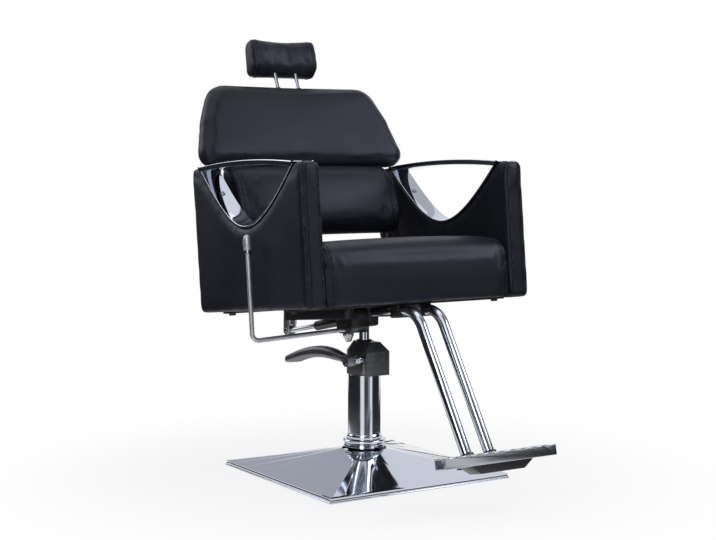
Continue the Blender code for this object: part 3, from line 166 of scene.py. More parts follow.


class ChairUpholstery(PropertyGroup):
    """Padding, seams and leatherette."""
    voxel: FloatProperty(
        name="Weave step", description="Size of the faces that the padding is blown up on",
        default=0.0065, unit="LENGTH")
    pressure: FloatProperty(
        name="Pressure", description="Pressure that fills the pads", default=4.0)
    frames: IntProperty(
        name="Frames", description="How long the pads are blown up", default=16)
    cloth_steps: IntProperty(
        name="Cloth steps", description="Steps of the cloth in a frame", default=4)
    slack: FloatProperty(
        name="Slack", description="Share by which the cover is cut too large", default=0.012)
    seat_swell: FloatProperty(
        name="Seat swell", description="How far the seat cushion may swell", default=0.004, unit="LENGTH")
    back_swell: FloatProperty(
        name="Back swell", description="How far the back pads may swell", default=0.0035, unit="LENGTH")
    arm_swell: FloatProperty(
        name="Arm swell", description="How far the arm panels may swell", default=0.0025, unit="LENGTH")
    head_swell: FloatProperty(
        name="Headrest swell", description="How far the headrest may swell", default=0.004, unit="LENGTH")
    dip: FloatProperty(
        name="Dip", description="How far a pad may sink in", default=0.0008, unit="LENGTH")
    seam_half: FloatProperty(
        name="Seam half width", description="From a seam's valley to its lip", default=0.0022, unit="LENGTH")
    seam_deep: FloatProperty(
        name="Seam depth", description="How deep a seam is drawn in", default=0.0023, unit="LENGTH")
    stitch_pitch: FloatProperty(
        name="Stitch pitch", description="From one stitch to the next", default=0.0055, unit="LENGTH")
    stitch_thick: FloatProperty(
        name="Thread", description="Thickness of the thread", default=0.0009, unit="LENGTH")
    colour: FloatVectorProperty(
        name="Leatherette", description="Colour of the leatherette", subtype="COLOR",
        default=(0.0070, 0.0076, 0.0112), min=0, max=1)
    thread: FloatVectorProperty(
        name="Thread colour", description="Colour of the thread", subtype="COLOR",
        default=(0.020, 0.021, 0.027), min=0, max=1)
    grain: FloatProperty(
        name="Grain", description="Grain cells in a metre", default=620.0)


class ChairMetal(PropertyGroup):
    """Bright and dark metals."""
    chrome: FloatVectorProperty(
        name="Chrome", description="Colour of the chrome", subtype="COLOR",
        default=(0.64, 0.67, 0.745), min=0, max=1)
    steel: FloatVectorProperty(
        name="Steel", description="Colour of the plated steel", subtype="COLOR",
        default=(0.50, 0.51, 0.54), min=0, max=1)
    aluminium: FloatVectorProperty(
        name="Aluminium", description="Colour of the tread", subtype="COLOR",
        default=(0.50, 0.52, 0.56), min=0, max=1)
    nickel: FloatVectorProperty(
        name="Satin nickel", description="Colour of the lever", subtype="COLOR",
        default=(0.62, 0.62, 0.66), min=0, max=1)
    zinc: FloatVectorProperty(
        name="Zinc", description="Colour of the lock's yoke and rod", subtype="COLOR",
        default=(0.66, 0.67, 0.70), min=0, max=1)
    casting: FloatVectorProperty(
        name="Casting", description="Colour of the pedal and the pump's head", subtype="COLOR",
        default=(0.185, 0.185, 0.198), min=0, max=1)
    enamel: FloatVectorProperty(
        name="Enamel", description="Colour of the painted frame", subtype="COLOR",
        default=(0.010, 0.010, 0.011), min=0, max=1)
    edge: FloatProperty(
        name="Edge", description="Rounding of machined edges", default=0.0007, unit="LENGTH")


class ChairArm(PropertyGroup):
    """The arms and the band that lines their openings, on the seat's sloping plane."""
    tilt: FloatProperty(
        name="Seat tilt", description="Slope of the seat", default=math.radians(5.74), unit="ROTATION")
    seat_height: FloatProperty(
        name="Seat height", description="Height of the seat's plane at the column", default=0.409,
        unit="LENGTH")
    inner: FloatProperty(
        name="Inner face", description="From the middle to the arms' inner faces", default=0.259,
        unit="LENGTH")
    outer: FloatProperty(
        name="Outer face", description="From the middle to the arms' outer faces", default=0.310,
        unit="LENGTH")
    proud: FloatProperty(
        name="Proud", description="How far the band stands out of the arm", default=0.001, unit="LENGTH")
    front: FloatProperty(
        name="Arm front", description="Front end of the arm", default=-0.256, unit="LENGTH")
    depth: FloatProperty(
        name="Arm depth", description="From the arm's front to its rear", default=0.530, unit="LENGTH")
    front_top: FloatProperty(
        name="Front top", description="Height of the arm's front end", default=0.3295, unit="LENGTH")
    rear_top: FloatProperty(
        name="Rear top", description="Height of the arm's rear end", default=0.364, unit="LENGTH")
    rise: FloatProperty(
        name="Arch", description="Rise of the arm's arched top", default=0.0132, unit="LENGTH")
    low: FloatProperty(
        name="Opening low", description="Lowest point of the opening", default=0.201, unit="LENGTH")
    low_y: FloatProperty(
        name="Opening place", description="Where the opening is lowest", default=0.012, unit="LENGTH")
    bend: FloatProperty(
        name="Opening bend", description="Roundness of the opening's foot", default=0.150, unit="LENGTH")
    slope_rear: FloatProperty(
        name="Rear slope", description="Slope of the opening's rear side", default=1.30)
    slope_front: FloatProperty(
        name="Front slope", description="Slope of the opening's front side", default=1.013)
    wall: FloatProperty(
        name="Band", description="Thickness of the band", default=0.005, unit="LENGTH")
    bar: FloatProperty(
        name="Top bar", description="Thickness of the band's top bar", default=0.012, unit="LENGTH")


class ChairBase(PropertyGroup):
    """Pressed base, collar and column."""
    side: FloatProperty(
        name="Side", description="Side of the pressed cover", default=0.504, unit="LENGTH")
    rim: FloatProperty(
        name="Rim", description="Height of the rim", default=0.008, unit="LENGTH")
    corner: FloatProperty(
        name="Corner", description="Radius of the rim's corners", default=0.004, unit="LENGTH")
    neck: FloatProperty(
        name="Neck", description="Half width of the neck under the collar", default=0.055, unit="LENGTH")
    neck_round: FloatProperty(
        name="Neck corner", description="Radius of the neck's corners", default=0.05445, unit="LENGTH")
    sag: FloatProperty(
        name="Hollow", description="Exponent of the slightly hollow slope", default=1.12)
    sheet: FloatProperty(
        name="Sheet", description="Thickness of the pressed sheet", default=0.0025, unit="LENGTH")
    column: FloatProperty(
        name="Column", description="Diameter of the column", default=0.080, unit="LENGTH")
    flare: FloatProperty(
        name="Flare", description="How far the column's foot stands out", default=0.003, unit="LENGTH")


class ChairStage(PropertyGroup):
    """Camera, floor and light."""
    camera_place: FloatVectorProperty(
        name="Camera", description="Place of the camera", subtype="TRANSLATION", unit="LENGTH",
        default=(-1.9150, -2.9701, 0.7634))
    camera_turn: FloatVectorProperty(
        name="Camera turn", description="Turn of the camera", subtype="EULER", unit="ROTATION",
        default=(math.radians(85.714), 0.0, math.radians(-32.565)))
    lens: FloatProperty(
        name="Lens", description="Focal length", default=72.925, unit="CAMERA")
    floor: FloatVectorProperty(
        name="Floor", description="Colour of the floor", subtype="COLOR", default=(0.88, 0.88, 0.88),
        min=0, max=1)
    backdrop: FloatVectorProperty(
        name="Backdrop", description="Colour of the backdrop", subtype="COLOR", default=(1.0, 1.0, 1.0),
        min=0, max=1)
    light: FloatVectorProperty(
        name="Light", description="Colour of the lamps", subtype="COLOR", default=(0.92, 0.95, 1.0),
        min=0, max=1)
    ambient: FloatProperty(
        name="Ambient", description="Strength of the light from all round", default=0.42)
    key: FloatProperty(
        name="Key light", description="Power of the key light", default=42.0, unit="POWER")
    fill: FloatProperty(
        name="Fill light", description="Power of the fill light", default=20.0, unit="POWER")
    top: FloatProperty(
        name="Top light", description="Power of the top light", default=7.0, unit="POWER")
    side: FloatProperty(
        name="Side light", description="Power of the light beside the chair", default=20.0, unit="POWER")


def sizes(group):
    """One of the chair's property groups."""
    return getattr(bpy.context.scene, "chair_" + group)


# Tools for modelling
def choose(ob):
    """Make ob the one object that is selected and active."""
    if bpy.context.object and bpy.context.object.mode != "OBJECT":
        bpy.ops.object.mode_set(mode="OBJECT")
    bpy.ops.object.select_all(action="DESELECT")
    ob.select_set(True)
    bpy.context.view_layer.objects.active = ob


def open_mesh(ob):
    """Go into ob's edit mode with everything selected."""
    choose(ob)
    bpy.ops.object.mode_set(mode="EDIT")
    bpy.ops.mesh.select_mode(type="VERT")
    bpy.ops.mesh.select_all(action="SELECT")


def close_mesh():
    """Leave edit mode."""
    bpy.ops.object.mode_set(mode="OBJECT")


def pick(ob, kind, test):
    """In edit mode, select the vertices, edges or faces that pass a test."""
    bpy.ops.mesh.select_mode(type=kind)
    bpy.ops.mesh.select_all(action="DESELECT")
    bm = bmesh.from_edit_mesh(ob.data)
    for part in {"VERT": bm.verts, "EDGE": bm.edges, "FACE": bm.faces}[kind]:
        if test(part):
            part.select_set(True)
    bm.select_flush_mode()
    bmesh.update_edit_mesh(ob.data)


def modified(ob, kind, **settings):
    """Add a modifier, set it up and apply it."""
    choose(ob)
    modifier = ob.modifiers.new(kind.lower(), kind)
    for key, value in settings.items():
        setattr(modifier, key, value)
    bpy.ops.object.modifier_apply(modifier=modifier.name)
    return ob


def softened(ob, width, segments=2, angle=28.0):
    """Round the edges sharper than an angle and shade the rest smooth."""
    modified(ob, "BEVEL", width=width, segments=segments, limit_method="ANGLE",
             angle_limit=math.radians(angle), miter_outer="MITER_ARC")
    bpy.ops.object.shade_smooth_by_angle(angle=math.radians(SMOOTH_ANGLE))
    return ob


def mended(ob):
    """Merge doubles and turn the faces outwards."""
    open_mesh(ob)
    bpy.ops.mesh.remove_doubles(threshold=SAME_POINT)
    bpy.ops.mesh.normals_make_consistent(inside=False)
    close_mesh()
    return ob


def linked(name, data):
    """A new object in the scene."""
    ob = bpy.data.objects.new(name, data)
    bpy.context.scene.collection.objects.link(ob)
    return ob


def begun(name, add_primitive, **settings):
    """A new primitive as the one selected object."""
    bpy.ops.object.select_all(action="DESELECT")
    add_primitive(**settings)
    ob = bpy.context.object
    ob.name = name
    return ob


def copy_of(node, name):
    """A new object with a CAD node's shape, its triangles merged into whole faces."""
    ob = linked(name, frame["nodes"][node].data.copy())
    ob.data.materials.clear()
    open_mesh(ob)
    bpy.ops.mesh.customdata_custom_splitnormals_clear()
    bpy.ops.mesh.remove_doubles(threshold=SAME_CORNER)
    bpy.ops.mesh.dissolve_limited(angle_limit=math.radians(FLAT_ANGLE))
    close_mesh()
    return ob


def outline(name, points):
    """A closed loop of edges through points, from a circle with as many corners."""
    ob = begun(name, bpy.ops.mesh.primitive_circle_add, vertices=len(points), radius=1.0)
    for vertex, point in zip(ob.data.vertices, points):
        vertex.co = point
    return ob


def turned(name, profile, steps, centre=(0.0, 0.0)):
    """A closed (radius, height) profile spun about an upright axis."""
    ob = outline(name, [(radius, 0.0, z) for radius, z in profile])
    open_mesh(ob)
    bpy.ops.mesh.spin(steps=steps, angle=2 * math.pi, center=(0, 0, 0), axis=(0, 0, 1))
    close_mesh()
    mended(ob)
    ob.data.transform(Matrix.Translation((*centre, 0.0)))
    return ob


def threaded(name, points):
    """A curve through points."""
    curve = bpy.data.curves.new(name, "CURVE")
    curve.dimensions = "3D"
    spline = curve.splines.new("POLY")
    spline.points.add(len(points) - 1)
    for knot, point in zip(spline.points, points):
        knot.co = (*point, 1.0)
    return linked(name, curve)


def bar(name, points, radius, resolution):
    """A round bar along a path, with closed ends."""
    ob = threaded(name, points)
    ob.data.bevel_depth = radius
    ob.data.bevel_resolution = resolution
    ob.data.use_fill_caps = True
    choose(ob)
    bpy.ops.object.convert(target="MESH")
    return mended(bpy.context.object)


def rounded(corners, radius, steps=14):
    """A flat path through corners, with an arc at each inner one."""
    path = [Vector(corners[0])]
    for before, corner, after in zip(corners, corners[1:], corners[2:]):
        corner = Vector(corner)
        back = (Vector(before) - corner).normalized()
        ahead = (Vector(after) - corner).normalized()
        half = back.angle(ahead) / 2
        centre = corner + (back + ahead).normalized() * (radius / math.sin(half))
        first = corner + back * (radius / math.tan(half)) - centre
        last = corner + ahead * (radius / math.tan(half)) - centre
        sweep = first.angle_signed(last)
        for k in range(steps + 1):
            spoke = first.copy()
            spoke.rotate(Matrix.Rotation(-sweep * k / steps, 2))
            path.append(centre + spoke)
    path.append(Vector(corners[-1]))
    return path


def joined(first, *others):
    """Join objects into the first one."""
    choose(first)
    for other in others:
        other.select_set(True)
    bpy.ops.object.join()
    return first


def placed(ob, body, slot, finish, *nodes):
    """Give a finished piece its look, its body and the nodes that it stands for."""
    ob.data.materials.clear()
    ob.data.materials.append(finish)
    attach(ob, body)
    if nodes:
        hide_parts(*nodes)


def dressed(node, body, slot, finish, edge=None, segments=2):
    """A machined, pressed or cast piece: the node's shape with its edges rounded."""
    ob = copy_of(node, node + "_finished")
    softened(ob, sizes("metal").edge if edge is None else edge, segments)
    placed(ob, body, slot, finish, node)


def body_of(node):
    """The body that a node belongs to."""
    return frame["nodes"][node]["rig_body"]


def points_of(ob, kind="co"):
    """The places or the normals of a mesh's vertices."""
    flat = np.empty(len(ob.data.vertices) * 3)
    ob.data.vertices.foreach_get(kind, flat)
    return flat.reshape(-1, 3)


# Padding and seams
def blown_up(ob, swell, held):
    """Fill a pad under pressure; it rises or dips by no more than it may, and held points stay."""
    values = sizes("upholstery")
    rest = points_of(ob)
    outward = points_of(ob, "normal")
    group = ob.vertex_groups.new(name="held")
    group.add([i for i, point in enumerate(rest) if held(*point)], 1.0, "REPLACE")
    cloth = ob.modifiers.new("cloth", "CLOTH")
    cloth.settings.quality = values.cloth_steps
    cloth.settings.shrink_min = -values.slack
    cloth.settings.use_pressure = True
    cloth.settings.uniform_pressure_force = values.pressure
    cloth.settings.effector_weights.gravity = 0.0
    cloth.settings.vertex_group_mass = "held"
    cloth.collision_settings.use_collision = False
    cloth.point_cache.frame_start = 1
    cloth.point_cache.frame_end = values.frames
    for number in range(1, values.frames + 1):
        bpy.context.scene.frame_set(number)
    choose(ob)
    bpy.ops.object.modifier_apply(modifier="cloth")
    bpy.context.scene.frame_set(1)
    rise = ((points_of(ob) - rest) * outward).sum(axis=1, keepdims=True)
    kept = rest + outward * np.clip(rise, -values.dip, swell)
    ob.data.vertices.foreach_set("co", kept.ravel())
    ob.vertex_groups.clear()
    modified(ob, "SMOOTH", iterations=SMOOTH_AFTER)


def padded(node, swell, held, lip=None, grow=()):
    """A pad from the node's shape and its lip; each vector in grow first moves the side it points to."""
    ob = copy_of(node, node + "_cover")
    low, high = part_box(node)
    middle = (low + high) / 2
    for push in grow:
        open_mesh(ob)
        pick(ob, "VERT", lambda vertex: (vertex.co - middle).dot(push) > 0)
        bpy.ops.transform.translate(value=push)
        close_mesh()
    if lip:
        modified(ob, "BOOLEAN", operation="UNION", solver="EXACT", object=lip)
        bpy.data.objects.remove(lip)
    shape = linked(node + "_shape", ob.data.copy())
    modified(ob, "REMESH", mode="VOXEL", voxel_size=sizes("upholstery").voxel)
    modified(ob, "SHRINKWRAP", target=shape, wrap_method="NEAREST_SURFACEPOINT")
    bpy.data.objects.remove(shape)
    modified(ob, "SMOOTH", iterations=SMOOTH_BEFORE)
    blown_up(ob, swell, held)
    modified(ob, "SUBSURF", levels=1, render_levels=1)
    choose(ob)
    bpy.ops.object.shade_smooth()
    return ob


def on_plane(point, normal, reach, where):
    """A test for vertices on a plane and inside a region."""
    def test(vertex):
        return abs((vertex.co - point).dot(normal)) < reach and where(*vertex.co)
    return test


def anywhere(x, y, z):
    """The region of a seam that goes all round."""
    return True


def chains(ob, test):
    """Runs of points along the edges whose ends both pass a test, in edit mode."""
    bm = bmesh.from_edit_mesh(ob.data)
    near = {}
    for edge in bm.edges:
        a, b = edge.verts
        if test(a) and test(b):
            near.setdefault(a, []).append(b)
            near.setdefault(b, []).append(a)
    left = dict.fromkeys(sorted(near, key=lambda vertex: (len(near[vertex]), vertex.index)))
    runs = []
    while left:
        here = next(iter(left))
        run = []
        while here is not None:
            del left[here]
            run.append(here.co.copy())
            here = next((other for other in near[here] if other in left), None)
        runs.append(run)
    return runs


def sewn(ob, point, normal, where=anywhere, rows=(-1, 1)):
    """Draw in a seam where a plane meets a pad, and return the runs that its stitches follow."""
    values = sizes("upholstery")
    point = Vector(point)
    normal = Vector(normal).normalized()
    cut = normal * values.seam_half
    open_mesh(ob)
    for shift in SEAM_CUTS:
        bpy.ops.mesh.select_all(action="SELECT")
        bpy.ops.mesh.bisect(plane_co=point + cut * shift, plane_no=normal)
    for shift, share in SEAM_PROFILE:
        pick(ob, "VERT", on_plane(point + cut * shift, normal, values.seam_half * SEAM_REACH, where))
        bpy.ops.transform.shrink_fatten(value=values.seam_deep * share)
    runs = []
    for row in rows:
        runs += chains(ob, on_plane(point + cut * STITCH_CUT * row, normal,
                                    values.seam_half * STITCH_REACH, where))
    close_mesh()
    return runs


def stitched(name, runs, body):
    """Rows of stitches along runs of points, one spindle repeated along each."""
    values = sizes("upholstery")
    pitch, thick = values.stitch_pitch, values.stitch_thick
    long = pitch * STITCH_SHARE
    spindle = (Matrix.Translation((long / 2, 0, 0)) @ Matrix.Diagonal((long, thick, thick, 1.0))
               @ Matrix.Rotation(math.pi / 2, 4, "Y"))
    rows = []
    for run in runs:
        count = int(sum((b - a).length for a, b in zip(run, run[1:])) / pitch)
        if count < FEWEST_STITCHES:
            continue
        guide = threaded(name + "_path", run)
        row = begun(name + "_row", bpy.ops.mesh.primitive_uv_sphere_add, segments=6, ring_count=4, radius=0.5)
        row.data.transform(spindle)
        modified(row, "ARRAY", fit_type="FIXED_COUNT", count=count, use_relative_offset=False,
                 use_constant_offset=True, constant_offset_displace=(pitch, 0, 0))
        modified(row, "CURVE", object=guide, deform_axis="POS_X")
        bpy.data.objects.remove(guide)
        rows.append(row)
    ob = joined(*rows)
    ob.name = name
    choose(ob)
    bpy.ops.object.shade_smooth()
    placed(ob, body, "leather", look("thread"))


def covered(ob, runs, body, node):
    """Finish a pad with its leatherette and its stitches."""
    placed(ob, body, "leather", look("leatherette"), node)
    stitched(node + "_stitches", runs, body)


# Materials
def add(tree, kind, links=(), **settings):
    """A node with its settings, and with sockets given a value or a link by name or number."""
    node = tree.nodes.new(kind)
    for key, value in settings.items():
        setattr(node, key, value)
    for key, value in links:
        if isinstance(value, bpy.types.NodeSocket):
            tree.links.new(value, node.inputs[key])
        else:
            node.inputs[key].default_value = value
    return node


def feed(tree, node, **sockets):
    """Link values to a node's sockets by name."""
    for key, value in sockets.items():
        tree.links.new(value, node.inputs[key.replace("_", " ")])


def maths(tree, operation, *values):
    """A number worked out from others."""
    return add(tree, "ShaderNodeMath", enumerate(values), operation=operation).outputs[0]


def ranged(tree, value, given, wanted=(0.0, 1.0), curve="LINEAR"):
    """A number brought from a given range to a wanted one."""
    node = add(tree, "ShaderNodeMapRange", (
        ("Value", value), ("From Min", given[0]), ("From Max", given[1]),
        ("To Min", wanted[0]), ("To Max", wanted[1])), interpolation_type=curve)
    return node.outputs[0]


def noise(tree, place, scale, detail, roughness=0.5):
    """The outputs of a cloudy noise."""
    return add(tree, "ShaderNodeTexNoise", (
        ("Vector", place), ("Scale", scale), ("Detail", detail), ("Roughness", roughness))).outputs


def node_group(name, outputs, **inputs):
    """An empty shader group with a place and numbers to set, its inputs and its end node."""
    tree = bpy.data.node_groups.new(name, "ShaderNodeTree")
    tree.interface.new_socket(name="Place", in_out="INPUT", socket_type="NodeSocketVector")
    for socket, value in inputs.items():
        made = tree.interface.new_socket(name=socket, in_out="INPUT", socket_type="NodeSocketFloat")
        made.default_value = value
    for socket in outputs:
        tree.interface.new_socket(name=socket, in_out="OUTPUT", socket_type="NodeSocketFloat")
    return tree, tree.nodes.new("NodeGroupInput").outputs, tree.nodes.new("NodeGroupOutput")


def leather_grain():
    """Pebbled grain, fine creases and broad uneven tone of leatherette."""
    tree, start, end = node_group("leather_grain", ("Height", "Tone"), Cells=600.0)
    place = start["Place"]
    warp = noise(tree, place, 90.0, 2.0)["Color"]
    pushed = add(tree, "ShaderNodeVectorMath", ((0, warp), (1, (0.003, 0.003, 0.003))), operation="MULTIPLY")
    moved = add(tree, "ShaderNodeVectorMath", ((0, place), (1, pushed.outputs[0])), operation="ADD")
    pebble = add(tree, "ShaderNodeTexVoronoi", (("Vector", moved.outputs[0]), ("Scale", start["Cells"])),
                 feature="DISTANCE_TO_EDGE")
    round_top = ranged(tree, pebble.outputs["Distance"], (0.0, 0.22), curve="SMOOTHSTEP")
    crease = ranged(tree, noise(tree, place, 34.0, 4.0, 0.62)["Fac"], (0.36, 0.62), curve="SMOOTHSTEP")
    tone = ranged(tree, noise(tree, place, 5.5, 3.0)["Fac"], (0.30, 0.70))
    feed(tree, end, Height=maths(tree, "MULTIPLY_ADD", crease, 0.9, round_top), Tone=tone)
    return tree


def smudges():
    """Uneven gloss of a handled surface, with fine random scratches."""
    tree, start, end = node_group("smudges", ("Roughness", "Scratch"), Size=14.0, Low=0.04, High=0.12)
    cloud = noise(tree, start["Place"], start["Size"], 5.0)["Fac"]
    gloss = ranged(tree, cloud, (0.35, 0.75), (start["Low"], start["High"]))
    thin = add(tree, "ShaderNodeMapping", (
        ("Vector", start["Place"]), ("Scale", (900.0, 60.0, 60.0)), ("Rotation", (0.3, 0.5, 0.8))))
    feed(tree, end, Roughness=gloss, Scratch=noise(tree, thin.outputs[0], 1.0, 3.0)["Fac"])
    return tree


def worn_edges():
    """A mask of convex corners, broken up by noise: rubbed wear, and where a coat makes them much paler, a
    painted highlight along the edges.
    """
    tree, start, end = node_group("worn_edges", ("Mask",), Width=0.06)
    shape = add(tree, "ShaderNodeNewGeometry")
    cloud = noise(tree, start["Place"], 120.0, 4.0)["Fac"]
    edge = ranged(tree, shape.outputs["Pointiness"], (0.5, maths(tree, "ADD", 0.5, start["Width"])))
    feed(tree, end, Mask=maths(tree, "MULTIPLY", edge, cloud))
    return tree


def fine_texture():
    """Orange-peel height of paint, moulded plastic and cast skin."""
    tree, start, end = node_group("fine_texture", ("Height", "Tone"), Bumps=900.0)
    feed(tree, end, Height=noise(tree, start["Place"], start["Bumps"], 2.0)["Fac"],
         Tone=noise(tree, start["Place"], 9.0, 4.0)["Fac"])
    return tree


def use_group(tree, maker, place, **values):
    """The outputs of a shared node group, which is built once."""
    group = bpy.data.node_groups.get(maker.__name__) or maker()
    return add(tree, "ShaderNodeGroup", (("Place", place), *values.items()), node_tree=group).outputs


def blank(name, **constants):
    """A material with its Principled shader, its tree and its object coordinates."""
    made = bpy.data.materials.new(name)
    made.use_nodes = True
    tree = made.node_tree
    shader = tree.nodes["Principled BSDF"]
    for key, value in constants.items():
        shader.inputs[key.replace("_", " ")].default_value = value
    return made, tree, shader, add(tree, "ShaderNodeTexCoord").outputs["Object"]


def bumped(tree, shader, height, strength, distance):
    """Raise a surface by a height."""
    bump = add(tree, "ShaderNodeBump", (("Height", height), ("Strength", strength), ("Distance", distance)))
    feed(tree, shader, Normal=bump.outputs["Normal"])


def shaded(tree, factor, dark, light):
    """A colour between two, by a factor."""
    mix = add(tree, "ShaderNodeMix", (
        ("Factor", factor), (6, (*dark, 1.0)), (7, (*light, 1.0))), data_type="RGBA")
    return mix.outputs[2]


def scaled(colour, times):
    """A lighter or darker colour."""
    return tuple(min(1.0, part * times) for part in colour)


def leatherette(name):
    """Black leatherette with a faint cool sheen."""
    values = sizes("upholstery")
    made, tree, shader, place = blank(
        name, Specular_IOR_Level=0.38, Specular_Tint=(0.76, 0.80, 1.0, 1.0),
        Sheen_Weight=0.03, Sheen_Roughness=0.45, Sheen_Tint=(0.72, 0.78, 1.0, 1.0))
    grain = use_group(tree, leather_grain, place, Cells=values.grain)
    feed(tree, shader,
         Base_Color=shaded(tree, grain["Tone"], scaled(values.colour, 0.8), scaled(values.colour, 1.3)),
         Roughness=ranged(tree, grain["Tone"], (0.0, 1.0), (0.37, 0.47)))
    bumped(tree, shader, grain["Height"], 0.16, 0.0004)
    return made


def thread(name):
    """Twisted sewing thread."""
    values = sizes("upholstery")
    made, tree, shader, place = blank(name, Specular_IOR_Level=0.3)
    twist = add(tree, "ShaderNodeTexWave", (("Vector", place), ("Scale", 700.0), ("Distortion", 1.5)),
                bands_direction="DIAGONAL").outputs["Fac"]
    feed(tree, shader,
         Base_Color=shaded(tree, twist, scaled(values.thread, 0.7), scaled(values.thread, 1.4)),
         Roughness=ranged(tree, twist, (0.0, 1.0), (0.5, 0.7)))
    bumped(tree, shader, twist, 0.3, 0.0002)
    return made


def bright_metal(name, colour, gloss, size, scratch):
    """Polished or plated metal with uneven gloss and hairline scratches."""
    made, tree, shader, place = blank(name, Metallic=1.0)
    marks = use_group(tree, smudges, place, Low=gloss[0], High=gloss[1], Size=size)
    feed(tree, shader, Base_Color=shaded(tree, marks["Scratch"], scaled(colour, 0.95), scaled(colour, 1.04)),
         Roughness=marks["Roughness"])
    bumped(tree, shader, marks["Scratch"], scratch, 0.0001)
    return made


def brushed_metal(name, colour, gloss):
    """Extruded bar with brush lines along it."""
    made, tree, shader, place = blank(name, Metallic=1.0)
    drawn = add(tree, "ShaderNodeMapping", (("Vector", place), ("Scale", (14.0, 1400.0, 1400.0))))
    lines = noise(tree, drawn.outputs[0], 1.0, 4.0)["Fac"]
    feed(tree, shader, Base_Color=shaded(tree, lines, scaled(colour, 0.92), scaled(colour, 1.06)),
         Roughness=ranged(tree, lines, (0.0, 1.0), gloss))
    bumped(tree, shader, lines, 0.10, 0.0002)
    return made


def skinned(name, colour, edge_colour, gloss, bumps, strength, edge, **constants):
    """Paint, plastic, rubber, board or cast metal: a fine texture, and paler corners, which are rubbed wear
    and, where much paler, a painted edge highlight.
    """
    made, tree, shader, place = blank(name, **constants)
    skin = use_group(tree, fine_texture, place, Bumps=bumps)
    marks = use_group(tree, worn_edges, place, Width=edge)
    # paler corners: rubbed wear, and with a large factor a painted edge highlight
    feed(tree, shader, Base_Color=shaded(tree, marks["Mask"], colour, edge_colour),
         Roughness=ranged(tree, skin["Tone"], (0.3, 0.7), gloss))
    bumped(tree, shader, skin["Height"], strength, 0.0003)
    return made


def cast_metal(name, colour, edge_colour, gloss):
    """Dark cast metal that shines where it is rubbed."""
    return skinned(name, colour, edge_colour, gloss, 1100.0, 0.10, 0.07, Metallic=0.92)


def coated(name, colour, gloss, bumps, strength, specular=0.5, rubbed=2.4):
    """A dark coat whose corners are paler by a factor: rubbed paint, and a painted highlight along the edges
    where the factor is large.
    """
    return skinned(name, colour, scaled(colour, rubbed), gloss, bumps, strength, 0.10,
                   Specular_IOR_Level=specular)


def look(name):
    """One of the chair's finishes, built once."""
    metal = sizes("metal")
    makers = {
        "leatherette": (leatherette,),
        "thread": (thread,),
        "mirror_chrome": (bright_metal, metal.chrome, (0.035, 0.085), 14.0, 0.012),
        "drawn_chrome": (bright_metal, metal.chrome, (0.12, 0.19), 14.0, 0.02),
        "plated_steel": (bright_metal, metal.steel, (0.16, 0.30), 40.0, 0.05),
        "satin_nickel": (bright_metal, metal.nickel, (0.50, 0.62), 30.0, 0.03),
        "zinc": (bright_metal, metal.zinc, (0.30, 0.44), 40.0, 0.05),
        "brushed_aluminium": (brushed_metal, metal.aluminium, (0.20, 0.34)),
        "rubbed_casting": (cast_metal, metal.casting, (0.34, 0.34, 0.36), (0.34, 0.48)),
        "black_enamel": (coated, metal.enamel, (0.24, 0.38), 700.0, 0.06),
        # nine times paler corners on the plastic: a painted highlight along its edges
        "moulded_plastic": (coated, (0.024, 0.025, 0.028), (0.24, 0.34), 1300.0, 0.04, 0.5, 9.0),
        "seal_rubber": (coated, (0.016, 0.016, 0.016), (0.62, 0.78), 1800.0, 0.10, 0.35),
        "covered_board": (coated, (0.008, 0.008, 0.009), (0.55, 0.70), 420.0, 0.16, 0.3),
    }
    maker, *values = makers[name]
    return bpy.data.materials.get(name) or maker(name, *values)


# Lines of the seat, the arms and the back
def seat_world(y, z):
    """World (y, z) of a point on the seat's sloping plane."""
    values = sizes("arm")
    return (y * math.cos(values.tilt) + z * math.sin(values.tilt),
            values.seat_height - y * math.sin(values.tilt) + z * math.cos(values.tilt))


def seat_plane(y, z):
    """(y, z) on the seat's sloping plane of a world point."""
    values = sizes("arm")
    z = z - values.seat_height
    return (y * math.cos(values.tilt) - z * math.sin(values.tilt),
            y * math.sin(values.tilt) + z * math.cos(values.tilt))


def back_normal():
    """The way the back's boards face to the rear."""
    low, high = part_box("headrest_post_left")
    rise = Vector((0, high.y - low.y - POST, high.z - low.z)).normalized()
    return Vector((0, rise.z, -rise.y))


def arm_top(y):
    """Height of the arm's arched top edge."""
    values = sizes("arm")
    u = (y - values.front) / values.depth
    return values.front_top + (values.rear_top - values.front_top) * u + values.rise * 4 * u * (1 - u)


def opening_edge(y):
    """Height of the lower edge of the arm's opening."""
    values = sizes("arm")
    slope = values.slope_rear if y > values.low_y else values.slope_front
    return values.low + slope * (math.hypot(y - values.low_y, values.bend) - values.bend)


def opening_end(start, end):
    """Where the opening's edge meets the top edge, found by halving."""
    for _ in range(40):
        middle = (start + end) / 2
        if opening_edge(middle) < arm_top(middle):
            start = middle
        else:
            end = middle
    return start


def drawn_in(corners, depths):
    """A closed outline with each edge moved to its left by its own depth."""
    count = len(corners)
    lines = []
    for i in range(count):
        a = Vector(corners[i])
        along = (Vector(corners[(i + 1) % count]) - a).normalized()
        lines.append((a + Vector((-along.y, along.x)) * depths[i], along))
    moved = []
    for i in range(count):
        p, d = lines[i - 1]
        q, e = lines[i]
        cross = d.cross(e)
        step = (q - p).cross(e) / cross if abs(cross) > 1e-4 else (q - p).dot(d)
        moved.append(p + d * step)
    return moved


